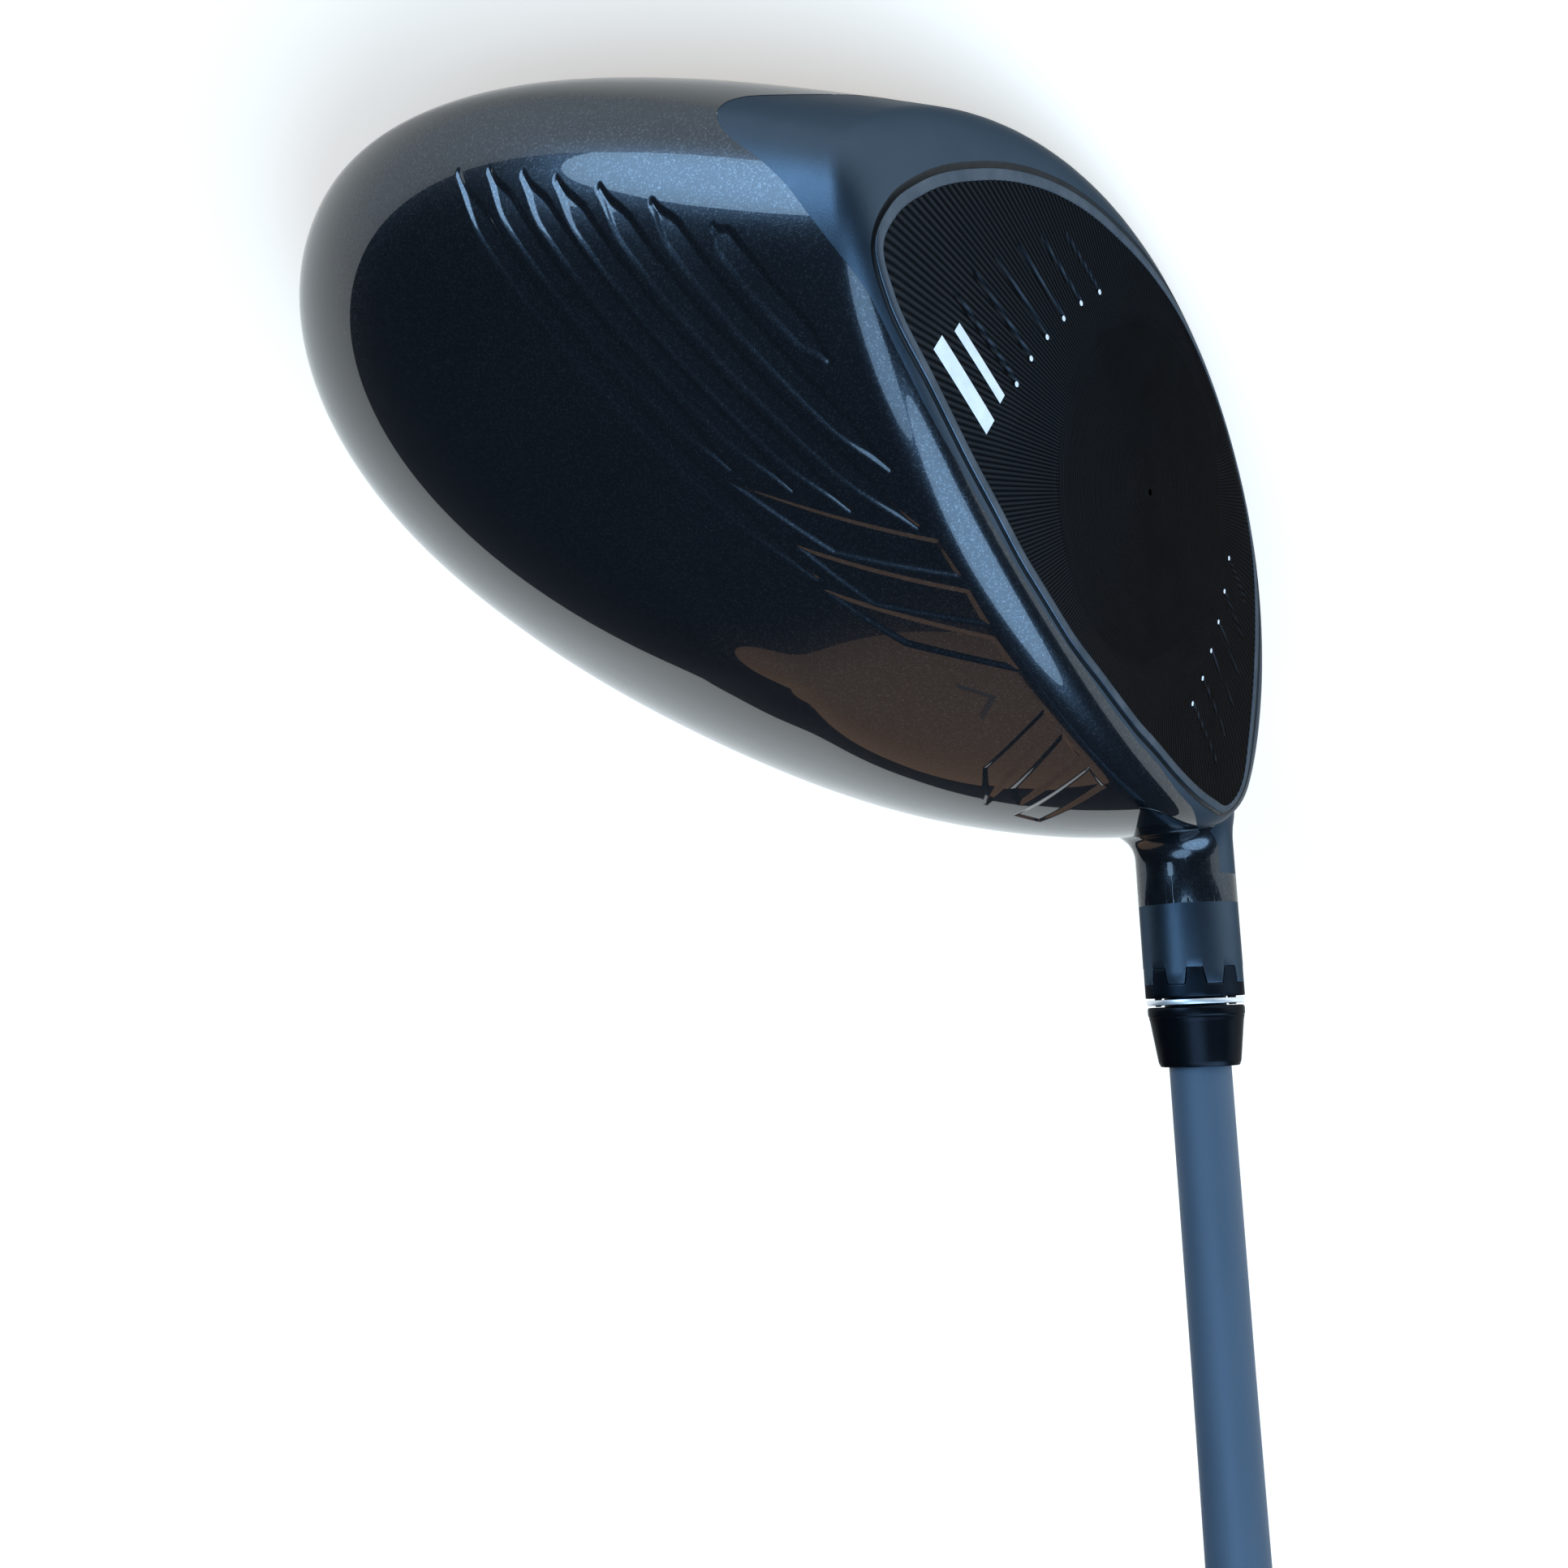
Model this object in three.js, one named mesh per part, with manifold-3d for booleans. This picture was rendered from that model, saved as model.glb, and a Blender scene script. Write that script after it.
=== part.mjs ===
// A left-handed golf driver: a hollow head, an indexing hosel adapter, a graphite shaft and a rubber grip.
// Millimetres, at address: the sole stands on z = 0, the toe points along +X, the back of the head along +Y,
// the face looks along -Y and the shaft rises towards -X. The origin is the flat patch in the middle of the sole.
import * as THREE from "three";
import { mergeVertices } from "three/addons/utils/BufferGeometryUtils.js";
import Module from "manifold-3d";

const wasm = await Module();
wasm.setup();

// ---- Driving dimensions ----

const GAP = 0.3; // between two pieces that touch
const SIDES = 24; // facets of a full turn
const SLIVER = 1e-3; // corners closer than this are welded together

// The head's plan is a superellipse with a different reach to each side, slightly skewed.
const HEAD = { toe: 61.4, heel: 63, back: 79.8, front: 63.4, planPower: 2.11 };
const SKEW = { cos2: -0.02, sin2: 0.076, cos3: -0.03, sin3: 0.042 };
// The waist is the widest level of the head. It drops from the face to the trailing edge.
const WAIST = { level: 28.9, toe: 1.6, back: -17.8, cos2: -1.4, sin2: 0.6 };
const CROWN = { top: 59.9, sidePower: 1.57, sideFall: -0.45, topPower: 1.82 };
const SOLE = { bottom: -0.3, sidePower: 2.38, bottomPower: 1.7 };
const STEEPEST = 0.45; // limits how far an inset runs along a line that grazes the surface
// The head's surface is sampled along rays: around the face, on rings that follow the face's edge, and on to the back.
const HEAD_STEPS = { around: 40, crowding: 0.3, faceRings: [0.35, 0.7], edgeRings: [-4.9, -1.6, 1.6, 4.9], backRings: 9 };
const RAY_DROP = 0.22; // the rays' own equator falls with the waist, towards the back

const FACE_CENTRE = new THREE.Vector3(-5.7, -33.7, 31.3);
const FACE_LOFT = THREE.MathUtils.degToRad(10.6);
const FACE_RADIUS = 305; // bulge and roll
const FACE_EDGE_ROUND = 4.9;

const WALL = 2.4; // titanium shell
const PANEL = 0.9; // carbon crown and sole panels
const FACE_THICKNESS = 2.6;
const FACE_INSERT_DEPTH = 6.2; // the curved insert lies between the face centre and this depth behind it
const FACE_POCKET_DEPTH = 8;
const FACE_LEDGE = 1.3; // thickness of the seat behind the face insert
const LEDGE_WIDTH = 3; // how far the face seat reaches under the insert's rim
const CROWN_LEDGE = 8; // how far the crown seat reaches under the crown's rim

// Outline of the face insert: toe-ward distance and height up the face, from the face centre.
const FACE_OUTLINE = [
  [0, 23.8], [21, 22.9], [37, 19.9], [47.4, 15.8], [48.4, 8], [42.4, -2.8], [30, -14.4], [14.2, -21.1],
  [-3, -23.4], [-19.5, -20.5], [-34.8, -10.4], [-45.5, 1.2], [-49, 7.6], [-46.4, 12.4], [-33.8, 17.5], [-16, 21.8],
];

// Front edge of the crown panel, in plan, and the plane that parts the crown from the skirt.
const CROWN_FRONT = [
  [-80, -16], [-55, -21.5], [-35, -24.1], [-5, -24.9], [24.6, -23.3], [40, -20.5], [49, -14.5], [54.5, -8], [59, -2], [66, 6],
];
const PARTING = { level: 22.6, toe: 0.03, back: -0.12 };
const CROWN_CLEAR_OF_HOSEL = 17;

// Carbon panels in the sole: centre, half breadth and half depth.
const SOLE_PANELS = {
  sole_panel_toe: { x: 31, y: 14, halfX: 15, halfY: 30, turn: -8 },
  sole_panel_heel: { x: -27, y: 22, halfX: 12, halfY: 24, turn: 10 },
};
const SOLE_PANEL_CORNER = 9;

// The hosel's axis rises from this point, level with the face centre. Stations below are lengths up that axis.
const HOSEL_ORIGIN = new THREE.Vector3(-68.8, -14, 31.3);
const LIE = THREE.MathUtils.degToRad(58.8);
const HOSEL = { radius: 6.95, bore: 5.6, rim: 22.3, notchFloor: 20, web: -12, webUnder: -14.5, bottom: -40 };
// The neck swells from the hosel into the head, towards the toe and the back: [station, radius, shift of its centre].
const NECK_RINGS = [
  [10.5, 6.95, 0], [6, 7.6, 0.65], [2, 9, 2.05], [-2, 11.5, 4.55], [-6, 15, 8.05], [-12, 18.5, 11.5], [-18, 21, 14],
  [-22, 20.8, 14.3], [-25, 18.3, 13.8], [-27, 14, 13],
];
const NECK_LEAN = THREE.MathUtils.degToRad(35); // direction of the swelling, from toe-ward towards the back
const TEETH = { count: 8, tipWidth: 2, rootWidth: 2.9 };
const COUNTERBORE = 5.2;

const SLEEVE = { collar: 6.9, barrel: 5.3, bore: 4.6, top: 24.1, shaftStop: -3.7, bottom: -10.5, hole: 2.8 };
const BOLT = { shank: 2.5, tip: -4.6, headTop: -16.2, headBottom: -20.2, head: 3.9, socket: 1.9, socketDepth: 2.6 };
const SEAT_WASHER = { inner: 2.8, outer: 4.6, top: -14.8, bottom: -15.9 };
const RETAINER = { inner: 2.9, outer: 4.9, top: -20.5, bottom: -21.3 };

const RING = { bottom: 24.4, top: 25.1, radius: 6.75 };
const FERRULE = { bottom: 25.4, top: 33.8, bottomRadius: 6.75, topRadius: 5.65 };

const CLUB_BUTT = 1119; // station of the grip's end: a 45.5 inch club
const SHAFT = { tip: -3.4, parallelTo: 75, taperTo: 800, butt: 1114, tipRadius: 4.3, buttRadius: 7.6, wall: 1.2 };
const TIP_PLUG = { bottom: 2, top: 12, radius: 2.8 };
const TAPE = { inner: 7.9, outer: 8.3, bottom: 856, top: 1108 };
const GRIP = { mouth: 851, bore: 8.6, mouthRadius: 9.7, butt: 11.9, buttFrom: 1068, top: 1110 };
const CAP = { bottom: 1110.3, rimRadius: 13.4, plugRadius: 6, plugDepth: 12, vent: 0.9 };

// Screw-in sole weights: where the axis meets the sole, in plan, and the radius. Their depths run in from the sole.
const WEIGHTS = { front: { x: -3, y: -16, radius: 6.2 }, rear: { x: 3, y: 56, radius: 7.2 } };
const WEIGHT = { recess: 0.8, head: 4.4, washer: 0.8, insert: 6, shank: 2.5, hole: 2.8, socket: 2, socketDepth: 2.4 };

const COLOURS = {
  body: { color: 0x17181b, metalness: 0.5, roughness: 0.42 },
  crown: { color: 0x10151d, metalness: 0.6, roughness: 0.12 },
  face: { color: 0x0c0c0d, metalness: 0.8, roughness: 0.45 },
  carbon: { color: 0x0b0c0e, metalness: 0.1, roughness: 0.3 },
  steel: { color: 0xb8babd, metalness: 1, roughness: 0.3 },
  anodised: { color: 0x0e0f11, metalness: 0.6, roughness: 0.4 },
  plastic: { color: 0x0b0b0c, metalness: 0, roughness: 0.4 },
  silver: { color: 0xc8cacd, metalness: 1, roughness: 0.25 },
  shaft: { color: 0x39424f, metalness: 0.1, roughness: 0.5 },
  cork: { color: 0x9a7a55, metalness: 0, roughness: 0.9 },
  rubber: { color: 0x141415, metalness: 0, roughness: 0.85 },
};

// ---- Solids ----

// A closed geometry as a solid that can be joined and cut.
function solid(geometry, weld = 1e-4) {
  const bare = geometry.clone();
  bare.deleteAttribute("normal");
  bare.deleteAttribute("uv");
  const merged = mergeVertices(bare, weld);
  const corners = merged.index.array;
  const kept = [];
  for (let i = 0; i < corners.length; i += 3) {
    const [a, b, c] = [corners[i], corners[i + 1], corners[i + 2]];
    if (a !== b && b !== c && c !== a) kept.push(a, b, c);
  }
  const vertProperties = merged.attributes.position.array;
  return new wasm.Manifold(new wasm.Mesh({ numProp: 3, vertProperties, triVerts: new Uint32Array(kept) }));
}

// The geometry of a solid.
function geometryOf(made) {
  const { vertProperties, triVerts } = made.getMesh();
  return new THREE.BufferGeometry()
    .setAttribute("position", new THREE.BufferAttribute(new Float32Array(vertProperties), 3))
    .setIndex(new THREE.BufferAttribute(new Uint32Array(triVerts), 1));
}

function moved(geometry, matrix) {
  return geometry.clone().applyMatrix4(matrix);
}

// A solid of revolution about Z. The outline's [radius, height] points run up the outside; a ring closes on itself.
function turned(outline, sides = SIDES) {
  const points = outline.map(([radius, height]) => new THREE.Vector2(radius, height));
  const isRing = outline.every(([radius]) => radius > 0);
  if (isRing) points.push(points[0].clone());
  return new THREE.LatheGeometry(points, sides).rotateX(Math.PI / 2);
}

function rod(radius, bottom, top, sides = SIDES) {
  return turned([[0, bottom], [radius, bottom], [radius, top], [0, top]], sides);
}

function tube(inner, outer, bottom, top, sides = SIDES) {
  return turned([[inner, bottom], [outer, bottom], [outer, top], [inner, top]], sides);
}

// A closed solid through rings of points that all have the same count, capped at both ends.
function lofted(rings) {
  const count = rings[0].length;
  const positions = rings.flat().flatMap((p) => [p.x, p.y, p.z]);
  const index = [];
  const last = rings.length - 1;
  for (let level = 0; level < last; level++) {
    for (let i = 0; i < count; i++) {
      const [a, b] = [level * count + i, level * count + ((i + 1) % count)];
      index.push(a, b, b + count, a, b + count, a + count);
    }
  }
  for (let i = 1; i < count - 1; i++) {
    index.push(0, i + 1, i);
    index.push(last * count, last * count + i, last * count + i + 1);
  }
  return new THREE.BufferGeometry()
    .setAttribute("position", new THREE.Float32BufferAttribute(positions, 3))
    .setIndex(index);
}

// ---- The head's outer form ----

function headRim(theta) {
  const [c, s] = [Math.cos(theta), Math.sin(theta)];
  const across = c > 0 ? HEAD.toe : HEAD.heel;
  const along = s > 0 ? HEAD.back : HEAD.front;
  const power = HEAD.planPower;
  const skew = 1 + SKEW.cos2 * Math.cos(2 * theta) + SKEW.sin2 * Math.sin(2 * theta)
    + SKEW.cos3 * Math.cos(3 * theta) + SKEW.sin3 * Math.sin(3 * theta);
  return skew * (Math.abs(c / across) ** power + Math.abs(s / along) ** power) ** (-1 / power);
}

function headWaist(theta) {
  return WAIST.level + WAIST.toe * Math.cos(theta) + WAIST.back * Math.sin(theta)
    + WAIST.cos2 * Math.cos(2 * theta) + WAIST.sin2 * Math.sin(2 * theta);
}

// The centre from which every point of the head's surface can be seen.
const HEAD_CENTRE = new THREE.Vector3(0, 0, FACE_CENTRE.z);

// Whether a point is inside the head, before the face is cut.
function insideHead({ x, y, z }) {
  const theta = Math.atan2(y, x);
  const waist = headWaist(theta);
  const out = Math.hypot(x, y) / headRim(theta);
  if (z >= waist) {
    const sidePower = CROWN.sidePower + CROWN.sideFall * Math.sin(theta);
    return out ** sidePower + ((z - waist) / (CROWN.top - waist)) ** CROWN.topPower < 1;
  }
  return out ** SOLE.sidePower + ((waist - z) / (waist - SOLE.bottom)) ** SOLE.bottomPower < 1;
}

// The value between low and high at which a test stops being true.
function boundary(low, high, test) {
  for (let step = 0; step < 40; step++) {
    const middle = (low + high) / 2;
    if (test(middle)) low = middle;
    else high = middle;
  }
  return low;
}

// How far a ray from the head's centre runs to the head's own surface, and to the large sphere of the face.
function rayLengths(ray) {
  const free = boundary(0, 2 * HEAD.back, (length) => insideHead(ray.clone().multiplyScalar(length).add(HEAD_CENTRE)));
  const sphere = new THREE.Vector3(0, Math.cos(FACE_LOFT), -Math.sin(FACE_LOFT))
    .multiplyScalar(FACE_RADIUS).add(FACE_CENTRE);
  const toCentre = HEAD_CENTRE.clone().sub(sphere);
  const b = ray.dot(toCentre);
  const toFace = -b + Math.sqrt(b * b - toCentre.lengthSq() + FACE_RADIUS ** 2);
  return { free, toFace };
}

// The point of the head's surface on a ray. The face's edge is rounded into the rest of the head.
function headPoint(ray) {
  const { free, toFace } = rayLengths(ray);
  const mix = THREE.MathUtils.clamp(0.5 + (0.5 * (toFace - free)) / FACE_EDGE_ROUND, 0, 1);
  const length = toFace * (1 - mix) + free * mix - FACE_EDGE_ROUND * mix * (1 - mix);
  return ray.clone().multiplyScalar(length).add(HEAD_CENTRE);
}

// The ray at an angle from the face's pole, and at a turn about it that starts at the toe.
function headRay(polar, turn) {
  const [level, side] = [Math.cos(polar), Math.sin(polar)];
  return new THREE.Vector3(side * Math.cos(turn), -level, side * Math.sin(turn) + RAY_DROP * level).normalize();
}

// The head's form, drawn in by inset along each line from its centre.
function headForm(inset) {
  const { around, crowding, faceRings, edgeRings, backRings } = HEAD_STEPS;
  const columns = Array.from({ length: around }, (_, i) => {
    const even = (2 * Math.PI * i) / around;
    const turn = even - crowding * Math.sin(2 * even);
    const edges = edgeRings.map((beyond) => boundary(0, Math.PI, (polar) => {
      const { free, toFace } = rayLengths(headRay(polar, turn));
      return toFace - free < beyond;
    }));
    const last = edges.at(-1);
    const back = Array.from({ length: backRings }, (_, j) => last + ((Math.PI - last) * (j + 1)) / (backRings + 1));
    return [...faceRings.map((part) => part * edges[0]), ...edges, ...back].map((polar) => headPoint(headRay(polar, turn)));
  });
  const rings = columns[0].length;
  const points = [headPoint(headRay(0, 0))];
  for (let ring = 0; ring < rings; ring++) points.push(...columns.map((column) => column[ring]));
  points.push(headPoint(headRay(Math.PI, 0)));
  const index = [];
  for (let i = 0; i < around; i++) {
    const next = (i + 1) % around;
    index.push(0, 1 + i, 1 + next);
    for (let ring = 0; ring < rings - 1; ring++) {
      const [a, b] = [1 + ring * around + i, 1 + ring * around + next];
      index.push(a, a + around, b + around, a, b + around, b);
    }
    const start = 1 + (rings - 1) * around;
    index.push(start + i, points.length - 1, start + next);
  }
  const form = new THREE.BufferGeometry().setFromPoints(points).setIndex(index);
  form.computeVertexNormals();
  const [places, normals] = [form.attributes.position, form.attributes.normal];
  points.forEach((point, i) => {
    const ray = point.clone().sub(HEAD_CENTRE);
    const length = ray.length();
    const slant = ray.divideScalar(length).dot(new THREE.Vector3().fromBufferAttribute(normals, i));
    const drawn = length - inset / Math.max(slant, STEEPEST);
    places.setXYZ(i, ...ray.multiplyScalar(drawn).add(HEAD_CENTRE));
  });
  return form;
}

// Everything above or below a level, as a wide box.
function slab(bottom, top) {
  return new THREE.BoxGeometry(400, 400, top - bottom).translate(0, 0, (bottom + top) / 2);
}

// ---- Cutting shapes ----

// The prism of the face insert's outline, grown outwards, along the face's normal.
function facePrism(grow, behind = FACE_POCKET_DEPTH) {
  const corners = FACE_OUTLINE.map(([x, up]) => new THREE.Vector3(x, up, 0));
  const outline = new THREE.CatmullRomCurve3(corners, true).getPoints(64).slice(0, -1);
  const shape = new THREE.Shape(outline.map((point, i) => {
    const before = outline.at(i - 1);
    const after = outline[(i + 1) % outline.length];
    const along = new THREE.Vector2(after.x - before.x, after.y - before.y).normalize();
    return new THREE.Vector2(point.x - along.y * grow, point.y + along.x * grow);
  }));
  const ahead = 10;
  const prism = new THREE.ExtrudeGeometry(shape, { depth: ahead + behind, bevelEnabled: false, steps: 1 });
  const up = new THREE.Vector3(0, Math.sin(FACE_LOFT), Math.cos(FACE_LOFT));
  const normal = new THREE.Vector3(0, -Math.cos(FACE_LOFT), Math.sin(FACE_LOFT));
  const frame = new THREE.Matrix4().makeBasis(new THREE.Vector3(1, 0, 0), up, normal).setPosition(FACE_CENTRE);
  return solid(prism.translate(0, 0, -behind).applyMatrix4(frame));
}

const hoselFrame = new THREE.Matrix4().makeRotationY(LIE - Math.PI / 2).setPosition(HOSEL_ORIGIN);

function onHosel(geometry) {
  return solid(moved(geometry, hoselFrame));
}

// The region of the crown panel, grown outwards.
function crownRegion(grow) {
  const front = new THREE.SplineCurve(CROWN_FRONT.map(([x, y]) => new THREE.Vector2(x, y - grow))).getPoints(22);
  const shape = new THREE.Shape([...front, new THREE.Vector2(120, 12), new THREE.Vector2(120, 130),
    new THREE.Vector2(-120, 130), new THREE.Vector2(-120, -20)]);
  const prism = new THREE.ExtrudeGeometry(shape, { depth: 120, bevelEnabled: false, steps: 1 });
  const slope = new THREE.Vector3(-PARTING.toe, -PARTING.back, 1).normalize();
  const tilt = new THREE.Matrix4().makeRotationFromQuaternion(
    new THREE.Quaternion().setFromUnitVectors(new THREE.Vector3(0, 0, 1), slope),
  );
  const below = moved(slab(-200, 0), tilt).translate(0, 0, PARTING.level - grow);
  return solid(prism)
    .subtract(solid(below))
    .subtract(onHosel(rod(CROWN_CLEAR_OF_HOSEL - grow, -60, 60)));
}

// A round-cornered panel of the sole, in plan.
function solePrism({ x, y, halfX, halfY, turn }, grow) {
  const [w, h, r] = [halfX + grow, halfY + grow, SOLE_PANEL_CORNER + grow];
  const shape = new THREE.Shape();
  shape.absarc(w - r, h - r, r, 0, Math.PI / 2);
  shape.absarc(r - w, h - r, r, Math.PI / 2, Math.PI);
  shape.absarc(r - w, r - h, r, Math.PI, 1.5 * Math.PI);
  shape.absarc(w - r, r - h, r, 1.5 * Math.PI, 2 * Math.PI);
  const prism = new THREE.ExtrudeGeometry(shape, { depth: 30, bevelEnabled: false, steps: 1, curveSegments: 5 });
  return solid(prism.rotateZ(THREE.MathUtils.degToRad(turn)).translate(x, y, -5));
}

// The frame of a sole weight: on the sole, with its Z axis pointing straight out of it.
function weightFrame({ x, y }) {
  const soleAt = (dx, dy) => new THREE.Vector3(x + dx, y + dy,
    boundary(SOLE.bottom - 1, HEAD_CENTRE.z, (z) => !insideHead(new THREE.Vector3(x + dx, y + dy, z))));
  const across = soleAt(1, 0).sub(soleAt(-1, 0)).normalize();
  const outwards = soleAt(0, 1).sub(soleAt(0, -1)).cross(across).normalize();
  return new THREE.Matrix4().makeBasis(across, outwards.clone().cross(across), outwards).setPosition(soleAt(0, 0));
}

// ---- Pieces of the head ----

function bodyShell() {
  const outer = solid(headForm(0)).subtract(solid(slab(-20, 0)));
  const lean = new THREE.Vector3(Math.cos(NECK_LEAN), Math.sin(NECK_LEAN), 0);
  const rings = NECK_RINGS.map(([station, radius, shift]) => {
    const offset = lean.clone().multiplyScalar(shift);
    return Array.from({ length: SIDES }, (_, i) => {
      const turn = (-2 * Math.PI * i) / SIDES;
      return new THREE.Vector3(radius * Math.cos(turn), radius * Math.sin(turn), station).add(offset);
    });
  });
  const neck = onHosel(lofted(rings));
  const hosel = onHosel(rod(HOSEL.radius, HOSEL.bottom, HOSEL.rim));
  const inHead = outer.add(neck);
  const ground = solid(slab(-60, 0));
  const bosses = Object.values(WEIGHTS).map((place) =>
    solid(moved(rod(place.radius + 2.3, -weightDepths().bossTop, 3), weightFrame(place))));

  const faceSeat = facePrism(LEDGE_WIDTH).subtract(solid(headForm(FACE_THICKNESS + GAP + FACE_LEDGE)));
  let cavity = solid(headForm(WALL)).subtract(hosel).subtract(faceSeat);
  for (const boss of bosses) cavity = cavity.subtract(boss);

  let body = inHead.add(hosel.intersect(inHead.add(onHosel(rod(HOSEL.radius + 1, 0, HOSEL.rim))))).subtract(ground);
  body = body.subtract(cavity);
  body = body.subtract(crownRegion(GAP).subtract(solid(headForm(PANEL + GAP))));
  body = body.subtract(crownRegion(-CROWN_LEDGE).intersect(solid(headForm(-1))));
  body = body.subtract(facePrism(GAP).subtract(solid(headForm(FACE_THICKNESS + GAP))));
  body = body.subtract(facePrism(-LEDGE_WIDTH));
  const panelRecess = solid(headForm(PANEL + GAP));
  for (const place of Object.values(SOLE_PANELS)) {
    body = body.subtract(solePrism(place, GAP).subtract(panelRecess));
  }
  body = body.subtract(onHosel(rod(HOSEL.bore, HOSEL.web, HOSEL.rim + 5)));
  body = body.subtract(onHosel(rod(BOLT.shank + GAP, HOSEL.webUnder - 1, HOSEL.web + 1)));
  body = body.subtract(onHosel(rod(COUNTERBORE, HOSEL.bottom - 10, HOSEL.webUnder)));
  for (const notch of toothShapes(GAP)) body = body.subtract(notch);
  for (const place of Object.values(WEIGHTS)) {
    const depths = weightDepths();
    const bores = [rod(place.radius + GAP, -depths.shoulder, 12), rod(depths.insertRadius + GAP, -depths.bossTop - 1, 1)];
    for (const bore of bores) body = body.subtract(solid(moved(bore, weightFrame(place))));
  }
  return largest(body);
}

// The biggest single body of a solid: the slivers that cutting leaves along an edge are welded shut and dropped.
function largest(made) {
  const welded = solid(geometryOf(made), SLIVER);
  return welded.decompose().reduce((most, body) => (body.volume() > most.volume() ? body : most));
}

// The teeth between hosel and sleeve, as radial prisms that are wider at the root. grow widens each of them.
function toothShapes(grow) {
  const height = HOSEL.rim - HOSEL.notchFloor;
  const [tip, root] = [TEETH.tipWidth / 2 + grow, TEETH.rootWidth / 2 + grow];
  const above = 1;
  const slope = (root - tip) / height;
  const shape = new THREE.Shape([
    new THREE.Vector2(-tip, HOSEL.notchFloor), new THREE.Vector2(tip, HOSEL.notchFloor),
    new THREE.Vector2(root + slope * above, HOSEL.rim + above), new THREE.Vector2(-root - slope * above, HOSEL.rim + above),
  ]);
  const profile = new THREE.ExtrudeGeometry(shape, { depth: 8, bevelEnabled: false, steps: 1 })
    .rotateX(Math.PI / 2).translate(0, -2, 0);
  return Array.from({ length: TEETH.count }, (_, i) =>
    onHosel(profile.clone().rotateZ((2 * Math.PI * (i + 0.5)) / TEETH.count)));
}

function crownShell() {
  return largest(solid(headForm(0)).subtract(solid(headForm(PANEL))).intersect(crownRegion(0)));
}

function faceInsert() {
  return largest(solid(headForm(0)).subtract(solid(headForm(FACE_THICKNESS))).intersect(facePrism(0, FACE_INSERT_DEPTH)));
}

function solePanel(place) {
  const skin = solid(headForm(0)).subtract(solid(headForm(PANEL))).subtract(solid(slab(-20, 0)));
  return largest(skin.intersect(solePrism(place, 0)).subtract(solid(slab(30, 80))));
}

// ---- Sole weights ----

function weightDepths() {
  const puckBottom = WEIGHT.recess + WEIGHT.head;
  const washerTop = puckBottom + GAP;
  const shoulder = washerTop + WEIGHT.washer + GAP;
  const insertRadius = 4.6;
  return { puckBottom, washerTop, shoulder, insertRadius, bossTop: shoulder + WEIGHT.insert + GAP };
}

function weightPieces(place) {
  const { puckBottom, washerTop, shoulder, insertRadius } = weightDepths();
  const socket = new THREE.CylinderGeometry(WEIGHT.socket, WEIGHT.socket, 2 * WEIGHT.socketDepth, 6).rotateX(Math.PI / 2);
  const screw = solid(turned([
    [0, -shoulder - WEIGHT.insert + GAP], [WEIGHT.shank, -shoulder - WEIGHT.insert + GAP], [WEIGHT.shank, -puckBottom],
    [place.radius, -puckBottom], [place.radius, -WEIGHT.recess - 0.6], [place.radius - 0.6, -WEIGHT.recess],
    [0, -WEIGHT.recess],
  ])).subtract(solid(socket.translate(0, 0, -WEIGHT.recess)));
  const washer = tube(WEIGHT.hole, place.radius - 0.8, -washerTop - WEIGHT.washer, -washerTop);
  const insert = tube(WEIGHT.hole, insertRadius, -shoulder - WEIGHT.insert, -shoulder - GAP, 24);
  return { screw: geometryOf(screw), washer, insert };
}

// ---- Hosel adapter ----

function adapterSleeve() {
  const shape = turned([
    [SLEEVE.hole, SLEEVE.bottom], [SLEEVE.barrel, SLEEVE.bottom], [SLEEVE.barrel, HOSEL.rim + GAP],
    [SLEEVE.collar, HOSEL.rim + GAP], [SLEEVE.collar, SLEEVE.top], [SLEEVE.bore, SLEEVE.top],
    [SLEEVE.bore, SLEEVE.shaftStop], [SLEEVE.hole, SLEEVE.shaftStop],
  ]);
  const toothBand = solid(moved(tube(SLEEVE.barrel - 0.4, SLEEVE.collar, HOSEL.notchFloor + GAP, HOSEL.rim + GAP + 0.1), hoselFrame));
  let sleeve = onHosel(shape);
  for (const tooth of toothShapes(0)) sleeve = sleeve.add(tooth.intersect(toothBand));
  const back = hoselFrame.clone().invert();
  return geometryOf(sleeve).applyMatrix4(back);
}

function adapterBolt() {
  const shape = turned([
    [0, BOLT.headBottom], [BOLT.head - 0.4, BOLT.headBottom], [BOLT.head, BOLT.headBottom + 0.4],
    [BOLT.head, BOLT.headTop], [BOLT.shank, BOLT.headTop], [BOLT.shank, BOLT.tip - 0.5], [BOLT.shank - 0.5, BOLT.tip],
    [0, BOLT.tip],
  ]);
  const socket = new THREE.CylinderGeometry(BOLT.socket, BOLT.socket, 2 * BOLT.socketDepth, 6).rotateX(Math.PI / 2);
  return geometryOf(solid(shape).subtract(solid(socket.translate(0, 0, BOLT.headBottom))));
}

// ---- Shaft and grip ----

function shaftTube() {
  const { tip, parallelTo, taperTo, butt, tipRadius, buttRadius, wall } = SHAFT;
  return turned([
    [tipRadius, tip], [tipRadius, parallelTo], [buttRadius, taperTo], [buttRadius, butt],
    [buttRadius - wall, butt], [buttRadius - wall, taperTo], [tipRadius - wall, parallelTo], [tipRadius - wall, tip],
  ]);
}

function gripSleeve() {
  const { mouth, bore, mouthRadius, butt, buttFrom, top } = GRIP;
  return turned([
    [mouthRadius - 0.6, mouth], [mouthRadius, mouth + 0.8], [mouthRadius + 0.3, mouth + 6], [butt, buttFrom],
    [butt + 0.3, top - 12], [CAP.rimRadius - 0.5, top - 2], [CAP.rimRadius - 0.3, top], [bore, top], [bore, mouth],
  ]);
}

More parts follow.
